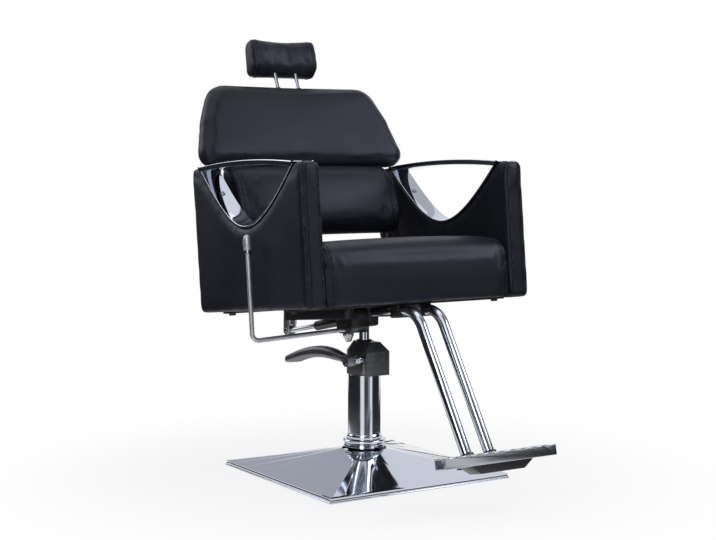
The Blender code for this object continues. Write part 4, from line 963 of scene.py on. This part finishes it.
# Upholstery
class CHAIR_OT_seat_cushion(Operator):
    """Seat cushion with a rolled front and sewn end seams"""
    bl_idname = "chair.seat_cushion"
    bl_label = "Seat cushion"
    front: FloatProperty(name="Front", description="Front of the cushion", default=-0.252, unit="LENGTH")
    lip: FloatProperty(name="Lip", description="Thickness of the cover before the board", default=0.0115,
                       unit="LENGTH")
    lip_low: FloatProperty(name="Lip foot", description="Foot of the lip", default=0.0035, unit="LENGTH")
    lip_top: FloatProperty(name="Lip top", description="Where the lip joins the cushion", default=0.069,
                           unit="LENGTH")
    lip_tuck: FloatProperty(name="Lip tuck", description="How far the lip's foot is drawn back",
                            default=0.002, unit="LENGTH")

    def front_lip(self, half):
        """The edge of the cover that hangs in front of the seat board."""
        ob = begun("seat_cushion_lip", bpy.ops.mesh.primitive_cube_add, size=1.0)
        for vertex in ob.data.vertices:
            tuck = 0.0 if vertex.co.z > 0 else self.lip_tuck
            y = self.front + (self.lip if vertex.co.y > 0 else tuck)
            z = self.lip_top if vertex.co.z > 0 else self.lip_low
            vertex.co = (math.copysign(half - LIP_SHORT, vertex.co.x), *seat_world(y, z))
        return softened(ob, width=0.003, segments=3, angle=40)

    def execute(self, context):
        low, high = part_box("seat_cushion")
        seam = high.x - SEAT_SEAM

        def held(x, y, z):
            foot = low.z + SEAT_HELD - SEAT_SLOPE * (y - low.y)
            return z < foot or abs(abs(x) - seam) < SEAT_SEAM_HELD

        ob = padded("seat_cushion", sizes("upholstery").seat_swell, held, self.front_lip(high.x))
        runs = []
        for side, _ in SIDES:
            runs += sewn(ob, (side * seam, 0, 0), ACROSS)
            sewn(ob, (side * (seam + SEAT_BORDER), 0, 0), ACROSS, rows=())
        covered(ob, runs, "seat", "seat_cushion")
        return {"FINISHED"}


class CHAIR_OT_arm_panels(Operator):
    """Upholstered side panels with seams round their front edges"""
    bl_idname = "chair.arm_panels"
    bl_label = "Arm panels"

    def execute(self, context):
        values = sizes("arm")
        seam_end = seat_world(values.front, 0)[0] + ARM_SEAM_LONG

        def held(x, y, z):
            flat_y, flat_z = seat_plane(y, z)
            return opening_edge(flat_y) - flat_z < BOARD_HELD or flat_z < BOARD_HELD

        def at_front(x, y, z):
            return y < seam_end

        for side, word in SIDES:
            node = "arm_panel_" + word
            ob = padded(node, sizes("upholstery").arm_swell, held)
            runs = []
            for face, shift, row in ARM_SEAMS:
                x = getattr(values, face) + shift
                runs += sewn(ob, (side * x, 0, 0), ACROSS, at_front, (side * row,))
            covered(ob, runs, "seat", node)
        return {"FINISHED"}


class CHAIR_OT_back_pads(Operator):
    """Upper pad with a hollow face and lumbar pad with sewn ends"""
    bl_idname = "chair.back_pads"
    bl_label = "Back pads"

    def execute(self, context):
        swell = sizes("upholstery").back_swell
        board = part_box("upper_back_board")[0]
        plate = Vector((0, board.y, board.z))
        lean = back_normal()

        def at_board(x, y, z):
            return (Vector((0, y, z)) - plate).dot(lean) > -BOARD_HELD

        down = Vector((0, lean.z, -lean.y)) * UPPER_DROP
        upper = padded("upper_back_pad", swell, at_board, grow=(down,))
        runs = sewn(upper, plate - lean * UPPER_SEAM, lean, rows=(1,))
        covered(upper, runs, "backrest", "upper_back_pad")

        wider = Vector((LUMBAR_WIDER, 0, 0))
        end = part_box("lumbar_pad")[1].x + LUMBAR_WIDER
        seams = [end - inset for inset in LUMBAR_SEAMS]

        def held(x, y, z):
            return at_board(x, y, z) or any(abs(abs(x) - seam) < SEAM_HELD for seam in seams)

        lumbar = padded("lumbar_pad", swell, held, grow=(wider, -wider))
        runs = []
        for side, _ in SIDES:
            for seam in seams:
                runs += sewn(lumbar, (side * seam, 0, 0), ACROSS, rows=(-side,))
        covered(lumbar, runs, "backrest", "lumbar_pad")
        return {"FINISHED"}


class CHAIR_OT_headrest(Operator):
    """Saddle-shaped headrest on two bright posts"""
    bl_idname = "chair.headrest"
    bl_label = "Headrest"

    def execute(self, context):
        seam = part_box("headrest_pad")[1].x - HEAD_SEAM

        def held(x, y, z):
            return abs(abs(x) - seam) < SEAM_HELD

        down = Vector((0, 0, -HEAD_DROP))
        ob = padded("headrest_pad", sizes("upholstery").head_swell, held, grow=(down,))
        runs = []
        for side, _ in SIDES:
            runs += sewn(ob, (side * seam, 0, 0), ACROSS, rows=(-side,))
        covered(ob, runs, "headrest", "headrest_pad")
        for _, word in SIDES:
            dressed("headrest_post_" + word, "headrest", "chrome", look("mirror_chrome"))
        return {"FINISHED"}


# Arm bands
class CHAIR_OT_arm_bands(Operator):
    """Chrome bands that line the arms' openings, with their screws"""
    bl_idname = "chair.arm_bands"
    bl_label = "Arm bands"
    vee_steps: IntProperty(name="Opening steps", description="Corners along the opening", default=110)
    top_steps: IntProperty(name="Top steps", description="Corners along the top bar", default=70)

    def execute(self, context):
        values = sizes("arm")
        rear = opening_end(values.low_y, values.front + values.depth)
        front = opening_end(values.low_y, values.front)
        outer = []
        for start, end, steps, height in ((rear, front, self.top_steps, arm_top),
                                          (front, rear, self.vee_steps, opening_edge)):
            for i in range(steps):
                y = start + (end - start) * i / steps
                outer.append((y, height(y)))
        inner = drawn_in(outer, [values.bar] * self.top_steps + [values.wall] * self.vee_steps)
        width = values.outer - values.inner + 2 * values.proud
        for side, word in SIDES:
            x = side * (values.inner - values.proud)
            ob = joined(*(outline(f"arm_trim_{word}_band", [(x, *seat_world(y, z)) for y, z in ring])
                          for ring in (outer, inner)))
            open_mesh(ob)
            bpy.ops.mesh.select_mode(type="EDGE")
            bpy.ops.mesh.select_all(action="SELECT")
            bpy.ops.mesh.bridge_edge_loops()
            bpy.ops.mesh.select_all(action="SELECT")
            bpy.ops.mesh.extrude_region_move(TRANSFORM_OT_translate={"value": (side * width, 0, 0)})
            close_mesh()
            mended(ob)
            softened(ob, width=0.0012, segments=3, angle=40)
            placed(ob, "seat", "chrome", look("mirror_chrome"), "arm_trim_" + word)
            dressed("trim_screw_" + word, "seat", "steel", look("plated_steel"), edge=0.0004)
        return {"FINISHED"}


# Base, column and pump
class CHAIR_OT_base(Operator):
    """Pressed chrome cover on its floor plate, with the collar round the column"""
    bl_idname = "chair.base"
    bl_label = "Base"
    corner_steps: IntProperty(name="Corner steps", description="Edges round a corner", default=10)
    side_cuts: IntProperty(name="Side cuts", description="Cuts along a side", default=15)
    slope_cuts: IntProperty(name="Slope cuts", description="Cuts up the slope", default=18)

    def square(self, name, side, corner, z):
        """A square ring with round corners."""
        ob = begun(name, bpy.ops.mesh.primitive_plane_add, size=side, location=(0, 0, 0))
        ob.data.transform(Matrix.Translation((0, 0, z)))
        open_mesh(ob)
        bpy.ops.mesh.bevel(offset_type="OFFSET", offset=corner, segments=self.corner_steps,
                           affect="VERTICES")
        longest = max(edge.calc_length() for edge in bmesh.from_edit_mesh(ob.data).edges)
        pick(ob, "EDGE", lambda edge: edge.calc_length() > longest * 0.98)
        bpy.ops.mesh.subdivide(number_cuts=self.side_cuts)
        bpy.ops.mesh.select_all(action="SELECT")
        bpy.ops.mesh.delete(type="ONLY_FACE")
        close_mesh()
        return ob

    def cover(self, values):
        """The pressed cover: two square rings bridged, hollowed, given a rim and a thickness."""
        low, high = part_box("base_cover")
        foot = low.z + values.rim
        rise = high.z - foot
        ob = joined(self.square("base_cover_shell", values.side, values.corner, foot),
                    self.square("base_cover_neck", values.neck * 2, values.neck_round, high.z))
        open_mesh(ob)
        bpy.ops.mesh.select_mode(type="EDGE")
        bpy.ops.mesh.select_all(action="SELECT")
        bpy.ops.mesh.bridge_edge_loops(number_cuts=self.slope_cuts)
        close_mesh()
        for vertex in ob.data.vertices:
            u = min(1.0, max(0.0, (vertex.co.z - foot) / rise))
            vertex.co.z = foot + rise * u ** values.sag
        open_mesh(ob)
        pick(ob, "EDGE", lambda edge: edge.is_boundary and edge.verts[0].co.z < foot + 1e-4)
        bpy.ops.mesh.extrude_edges_move(TRANSFORM_OT_translate={"value": (0, 0, low.z - foot)})
        close_mesh()
        mended(ob)
        modified(ob, "SOLIDIFY", thickness=values.sheet, offset=-1.0, use_even_offset=True)
        return softened(ob, width=0.0016, segments=4, angle=40)

    def execute(self, context):
        values = sizes("base")
        chrome = look("mirror_chrome")
        placed(self.cover(values), "base", "chrome", chrome, "base_cover")
        dressed("floor_plate", "base", "black_steel", chrome)
        low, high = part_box("base_collar")
        bore = values.column / 2 + values.flare + COLLAR_PLAY
        profile = [(bore, low.z)]
        profile += [(high.x - inset, low.z + up) for inset, up in COLLAR_FOOT]
        profile += [(high.x - inset, high.z - down) for inset, down in COLLAR_TOP]
        profile += [(bore, high.z)]
        collar = softened(turned("base_collar_ring", profile, 96), width=0.0008, segments=3)
        placed(collar, "base", "chrome", chrome, "base_collar")
        return {"FINISHED"}


class CHAIR_OT_column(Operator):
    """Chrome column with the ram, and the pump's head under its plastic cover"""
    bl_idname = "chair.column"
    bl_label = "Column"

    def execute(self, context):
        values = sizes("base")
        low, high = (corner.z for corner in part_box("pump_tube"))
        foot, rim = (corner.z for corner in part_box("base_collar"))
        radius = values.column / 2
        flare = radius + values.flare
        bore = radius - COLUMN_WALL
        profile = ((bore, low), (radius, low), (radius, foot), (flare, foot), (flare, rim + 0.006),
                   (radius + 0.0012, rim + 0.0105), (radius, rim + 0.012), (radius, high - 0.002),
                   (radius - 0.002, high), (bore, high))
        tube = softened(turned("pump_tube_chrome", profile, 120), width=0.0008, segments=3, angle=20)
        placed(tube, "base", "chrome", look("drawn_chrome"), "pump_tube")
        low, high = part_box("lift_ram")
        radius = high.x
        profile = ((0, low.z), (radius - 0.002, low.z), (radius, low.z + 0.002), (radius, high.z - 0.003),
                   (radius - 0.003, high.z), (0, high.z))
        ram = softened(turned("lift_ram_chrome", profile, 64), width=0.0006)
        placed(ram, "piston", "chrome", look("mirror_chrome"), "lift_ram")
        dressed("pump_cylinder", "base", "steel", look("plated_steel"))
        dressed("pump_head", "base", "dark_metal", look("rubbed_casting"))
        dressed("ram_gland", "base", "rubber", look("seal_rubber"), edge=0.0005)
        dressed("pump_cover", "base", "black_plastic", look("moulded_plastic"), edge=0.0022, segments=4)
        return {"FINISHED"}


class CHAIR_OT_pedal(Operator):
    """Foot pedal, its axle and the spacer between the pedal and the pump"""
    bl_idname = "chair.pedal"
    bl_label = "Pump pedal"
    spacer: FloatProperty(name="Spacer", description="Diameter of the spacer", default=0.021, unit="LENGTH")
    play: FloatProperty(name="Play", description="From the pedal to the spacer", default=0.0006,
                        unit="LENGTH")

    def execute(self, context):
        low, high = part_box("pedal_axle")
        middle = (low + high) / 2
        ob = copy_of("pump_pedal", "pump_pedal_forging")
        open_mesh(ob)
        pick(ob, "VERT", lambda vertex: abs(vertex.co.y - middle.y) > PALM)
        bpy.ops.transform.shrink_fatten(value=PALM_SWELL)
        close_mesh()
        softened(ob, width=0.0016, segments=3, angle=22)
        placed(ob, "pedal", "dark_metal", look("rubbed_casting"), "pump_pedal")
        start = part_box("pump_pedal")[1].x + self.play
        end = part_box("pump_cover")[0].x + SPACER_SUNK
        spacer = begun("pedal_spacer", bpy.ops.mesh.primitive_cylinder_add, vertices=48,
                       radius=self.spacer / 2, depth=end - start)
        spacer.data.transform(Matrix.Translation(((start + end) / 2, middle.y, middle.z))
                              @ Matrix.Rotation(math.pi / 2, 4, "Y"))
        axle = joined(copy_of("pedal_axle", "pedal_axle_chrome"), spacer)
        softened(axle, width=0.0006, segments=3)
        placed(axle, "base", "chrome", look("drawn_chrome"), "pedal_axle")
        return {"FINISHED"}


# Under the seat
class CHAIR_OT_seat_frame(Operator):
    """Painted frame, ram socket, seat board, hinges and the footrest's clamp"""
    bl_idname = "chair.seat_frame"
    bl_label = "Seat frame"

    def execute(self, context):
        paint = look("black_enamel")
        dressed("seat_frame", "seat", "black_steel", paint)
        dressed("ram_socket", body_of("ram_socket"), "black_steel", paint, edge=0.0010)
        dressed("footrest_clamp", "seat", "black_steel", paint)
        dressed("seat_board", "seat", "board", look("covered_board"), edge=0.0015)
        for _, word in SIDES:
            dressed("hinge_bracket_" + word, "seat", "black_steel", paint)
            dressed("hinge_pin_" + word, "seat", "steel", look("plated_steel"))
        return {"FINISHED"}


class CHAIR_OT_recline_lock(Operator):
    """Yoke, rod, clutch tube and housing of the recline lock"""
    bl_idname = "chair.recline_lock"
    bl_label = "Recline lock"

    def execute(self, context):
        for node, slot, finish in (
                ("recline_yoke", "steel", "zinc"), ("yoke_pin", "steel", "plated_steel"),
                ("lock_rod", "steel", "zinc"), ("lock_tube", "black_steel", "black_enamel"),
                ("lock_housing", "black_steel", "black_enamel"), ("tension_nut", "chrome", "zinc")):
            dressed(node, body_of(node), slot, look(finish))
        return {"FINISHED"}


class CHAIR_OT_lever(Operator):
    """Cranked hand lever with its ferrule and knob"""
    bl_idname = "chair.lever"
    bl_label = "Recline lever"
    shaft: FloatVectorProperty(
        name="Shaft", description="Place of the cross shaft", size=2, default=(-0.050, 0.362), unit="LENGTH")
    inner: FloatProperty(
        name="Inner end", description="Inner end of the shaft", default=-0.031, unit="LENGTH")
    knee: FloatProperty(
        name="Knee", description="Where the shaft starts to slope", default=-0.099, unit="LENGTH")
    reach: FloatProperty(name="Reach", description="Place of the upright", default=-0.338, unit="LENGTH")
    sag: FloatProperty(name="Sag", description="Drop to the upright's foot", default=0.0107, unit="LENGTH")
    rise: FloatProperty(name="Rise", description="Top of the upright", default=0.190, unit="LENGTH")
    bend: FloatProperty(name="Bend", description="Radius of the bend", default=0.016, unit="LENGTH")
    thick: FloatProperty(name="Rod", description="Diameter of the rod", default=0.011, unit="LENGTH")
    knob_foot: FloatProperty(name="Knob foot", description="Foot of the knob", default=0.1986, unit="LENGTH")

    def execute(self, context):
        nickel = look("satin_nickel")
        shaft = Matrix.Translation((0, *self.shaft)) @ Matrix.Rotation(-sizes("arm").tilt, 4, "X")
        path = rounded(((self.inner, 0.0), (self.knee, 0.0), (self.reach, -self.sag),
                        (self.reach, self.rise)), self.bend)
        rod = bar("lever_rod_bent", [(x, 0.0, z) for x, z in path], self.thick / 2, 12)
        rod.data.transform(shaft)
        softened(rod, width=0.0007, segments=3, angle=60)
        placed(rod, "lever", "dark_metal", nickel, "lever_rod")
        dressed("lever_ferrule", "lever", "chrome", look("plated_steel"), edge=0.0009, segments=3)
        profile = [(radius, self.knob_foot + height) for radius, height in KNOB_PROFILE]
        knob = turned("lever_knob_cap", profile, 40, (self.reach, 0.0))
        knob.data.transform(shaft)
        softened(knob, width=0.0007, segments=3, angle=34)
        placed(knob, "lever", "dark_metal", nickel, "lever_knob")
        return {"FINISHED"}


class CHAIR_OT_back_frame(Operator):
    """Painted back frame, covered boards and the guides of the headrest's posts"""
    bl_idname = "chair.back_frame"
    bl_label = "Back frame"

    def execute(self, context):
        dressed("back_frame", "backrest", "black_steel", look("black_enamel"))
        for node in ("upper_back_board", "lumbar_board"):
            dressed(node, "backrest", "board", look("covered_board"), edge=0.002, segments=3)
        for _, word in SIDES:
            dressed("post_guide_" + word, "backrest", "black_plastic", look("moulded_plastic"), edge=0.0005)
        return {"FINISHED"}


class CHAIR_OT_footrest(Operator):
    """Chrome tubes, the casting that holds them and the grooved tread"""
    bl_idname = "chair.footrest"
    bl_label = "Footrest"
    tube: FloatProperty(name="Tube", description="Diameter of the tubes", default=0.025, unit="LENGTH")
    tube_x: FloatProperty(name="Place", description="From the middle to a tube", default=0.031, unit="LENGTH")
    tube_rear: FloatVectorProperty(
        name="Rear end", description="Rear end of a tube", size=2, default=(-0.09275, 0.40616), unit="LENGTH")
    tube_corner: FloatVectorProperty(
        name="Corner", description="Corner of a tube", size=2, default=(-0.26787, 0.42376), unit="LENGTH")
    tube_foot: FloatVectorProperty(
        name="Foot", description="Lower end of a tube", size=2, default=(-0.47143, 0.10668), unit="LENGTH")
    tube_bend: FloatProperty(name="Bend", description="Radius of the bend", default=0.070, unit="LENGTH")

    def execute(self, context):
        path = rounded((self.tube_rear, self.tube_corner, self.tube_foot), self.tube_bend)
        for side, word in SIDES:
            node = "footrest_tube_" + word
            tube = bar(node + "_chrome", [(side * self.tube_x, *point) for point in path], self.tube / 2, 14)
            softened(tube, width=0.0008, segments=3, angle=60)
            placed(tube, "seat", "chrome", look("drawn_chrome"), node)
        dressed("footrest_casting", "seat", "aluminium", look("black_enamel"), edge=0.0012, segments=3)
        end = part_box("footrest_tread")[1].x - 1e-4

        def at_end(face):
            return abs(face.normal.x) > 0.95 and abs(face.calc_center_median().x) > end

        ob = copy_of("footrest_tread", "footrest_tread_bar")
        open_mesh(ob)
        pick(ob, "FACE", at_end)
        bpy.ops.mesh.inset(thickness=TREAD_WALL, use_even_offset=True)
        bpy.ops.mesh.extrude_region_shrink_fatten(TRANSFORM_OT_shrink_fatten={"value": -TREAD_DEEP})
        close_mesh()
        softened(ob, width=0.0004, angle=40)
        placed(ob, "seat", "aluminium", look("brushed_aluminium"), "footrest_tread")
        return {"FINISHED"}


# Stage
class CHAIR_OT_stage(Operator):
    """Camera, pale floor, white backdrop, soft lights, and walls seen only in reflections that paint light
    and shade into the chrome and leatherette
    """
    bl_idname = "chair.stage"
    bl_label = "Stage"

    def lamp(self, name, place, power, size):
        """A soft lamp that faces the chair."""
        data = bpy.data.lights.new(name, "AREA")
        data.energy = power
        data.color = sizes("stage").light
        data.shape = "RECTANGLE"
        data.size, data.size_y = size
        ob = linked(name, data)
        ob.location = place
        ob.rotation_euler = (Vector(AIM) - Vector(place)).to_track_quat("-Z", "Y").to_euler()

    def plain(self, name, colour, glow=None):
        """A matt material, with a glow of its own where one is given."""
        glowing = {"Emission_Color": (*glow, 1.0), "Emission_Strength": 1.0} if glow else {}
        return blank(name, Base_Color=(*colour, 1.0), Roughness=1.0, Specular_IOR_Level=0.0, **glowing)

    def unseen(self, ob, shade):
        """Only mirrors and gloss see this part of the stage: it is a painted reflection."""
        ob.data.materials.append(bpy.data.materials.get(shade) or self.plain(shade, *SHADES[shade])[0])
        ob.visible_camera = False
        ob.visible_diffuse = False
        ob.visible_shadow = False

    def wall(self, name, shade, angles, section):
        """A curved wall from a (radius, height) section; angles go round from the camera, to its right."""
        view = sizes("stage").camera_place
        ahead = Vector((view[0], view[1], 0)).normalized()
        right = Vector((-ahead.y, ahead.x, 0))
        start, end = (math.radians(angle) for angle in angles)
        first = ahead * math.cos(start) + right * math.sin(start)
        points = [(*(first * radius).xy, height) for radius, height in section]
        ob = outline(name, points + points[-2:0:-1])
        open_mesh(ob)
        bpy.ops.mesh.remove_doubles(threshold=1e-4)
        bpy.ops.mesh.spin(steps=WALL_STEPS, angle=end - start, center=(0, 0, 0), axis=(0, 0, -1))
        close_mesh()
        self.unseen(ob, shade)

    def apron(self, name, shade, inner, outer):
        """A flat square frame on the floor round the base, seen only in reflections: a painted dark
        reflection in the base's rim.
        """
        ob = begun(name, bpy.ops.mesh.primitive_plane_add, size=outer * 2)
        ob.data.transform(Matrix.Translation((0, 0, APRON_Z)))
        open_mesh(ob)
        bpy.ops.mesh.inset(thickness=outer - inner)
        bpy.ops.mesh.delete(type="FACE")
        close_mesh()
        self.unseen(ob, shade)

    def seen(self, tree):
        """1 for rays from the camera, mirrors and glass, and 0 for light that is scattered."""
        path = add(tree, "ShaderNodeLightPath").outputs
        direct = maths(tree, "MAXIMUM", path["Is Camera Ray"], path["Is Glossy Ray"])
        return maths(tree, "MAXIMUM", direct, path["Is Transmission Ray"])

    def pale_floor(self, values):
        """Diffuse round the chair, and as white as the backdrop further out."""
        made, tree, shader, place = self.plain("pale_floor", values.floor)
        far = add(tree, "ShaderNodeVectorMath", ((0, place),), operation="LENGTH").outputs["Value"]
        fade = ranged(tree, far, FLOOR_FADE, (FLOOR_SHARE, 1.0), "SMOOTHSTEP")
        share = maths(tree, "MULTIPLY", self.seen(tree), fade)
        glow = add(tree, "ShaderNodeEmission", (("Color", (*values.backdrop, 1.0)), ("Strength", 1.0)))
        mix = add(tree, "ShaderNodeMixShader", ((0, share), (1, shader.outputs[0]), (2, glow.outputs[0])))
        feed(tree, tree.nodes["Material Output"], Surface=mix.outputs[0])
        return made

    def execute(self, context):
        values = sizes("stage")
        scene = context.scene
        scene.view_settings.view_transform = "Standard"
        camera = linked("camera", bpy.data.cameras.new("camera"))
        camera.data.lens = values.lens
        camera.location = values.camera_place
        camera.rotation_euler = values.camera_turn
        scene.camera = camera

        floor = begun("stage_floor", bpy.ops.mesh.primitive_plane_add, size=FLOOR_SIDE)
        floor.data.transform(Matrix.Translation((0, 0, FLOOR_Z)))
        floor.data.materials.append(self.pale_floor(values))

        scene.world = bpy.data.worlds.new("studio")
        scene.world.use_nodes = True
        tree = scene.world.node_tree
        shade = tree.nodes["Background"]
        shade.inputs["Color"].default_value = (*values.backdrop, 1.0)
        feed(tree, shade, Strength=ranged(tree, self.seen(tree), (0.0, 1.0), (values.ambient, 1.0)))

        for name, place, size in LAMPS:
            self.lamp(name + "_light", place, getattr(values, name), size)
        for name, shade, angles, section in WALLS:
            self.wall(name, shade, angles, section)
        # a frame that paints a dark reflection into the rim of the base
        self.apron("stage_apron", "brown_apron", *APRON)
        return {"FINISHED"}


class CHAIR_PT_sidebar(Panel):
    """Lists the chair's sizes and the operators that build it"""
    bl_idname = "CHAIR_PT_sidebar"
    bl_label = "Hairdressing chair"
    bl_space_type = "VIEW_3D"
    bl_region_type = "UI"
    bl_category = "Chair"

    def draw(self, context):
        for group_name in PROPERTY_GROUPS:
            box = self.layout.box()
            box.label(text=group_name.capitalize())
            values = sizes(group_name)
            for key in values.__annotations__:
                box.prop(values, key)
        for operator in OPERATORS:
            self.layout.operator(operator.bl_idname)


PROPERTY_GROUPS = {
    "upholstery": ChairUpholstery,
    "metal": ChairMetal,
    "arm": ChairArm,
    "base": ChairBase,
    "stage": ChairStage,
}
OPERATORS = (
    CHAIR_OT_stage,
    CHAIR_OT_base,
    CHAIR_OT_column,
    CHAIR_OT_pedal,
    CHAIR_OT_seat_frame,
    CHAIR_OT_recline_lock,
    CHAIR_OT_lever,
    CHAIR_OT_footrest,
    CHAIR_OT_back_frame,
    CHAIR_OT_arm_bands,
    CHAIR_OT_seat_cushion,
    CHAIR_OT_arm_panels,
    CHAIR_OT_back_pads,
    CHAIR_OT_headrest,
)


def register():
    for made in (*PROPERTY_GROUPS.values(), *OPERATORS, CHAIR_PT_sidebar):
        bpy.utils.register_class(made)
    for name, made in PROPERTY_GROUPS.items():
        setattr(bpy.types.Scene, "chair_" + name, PointerProperty(type=made))


def unregister():
    for name in PROPERTY_GROUPS:
        delattr(bpy.types.Scene, "chair_" + name)
    for made in (CHAIR_PT_sidebar, *reversed(OPERATORS), *reversed(PROPERTY_GROUPS.values())):
        bpy.utils.unregister_class(made)


def main():
    register()
    for operator in OPERATORS:
        family, name = operator.bl_idname.split(".")
        getattr(getattr(bpy.ops, family), name)()


if __name__ == "__main__":
    main()
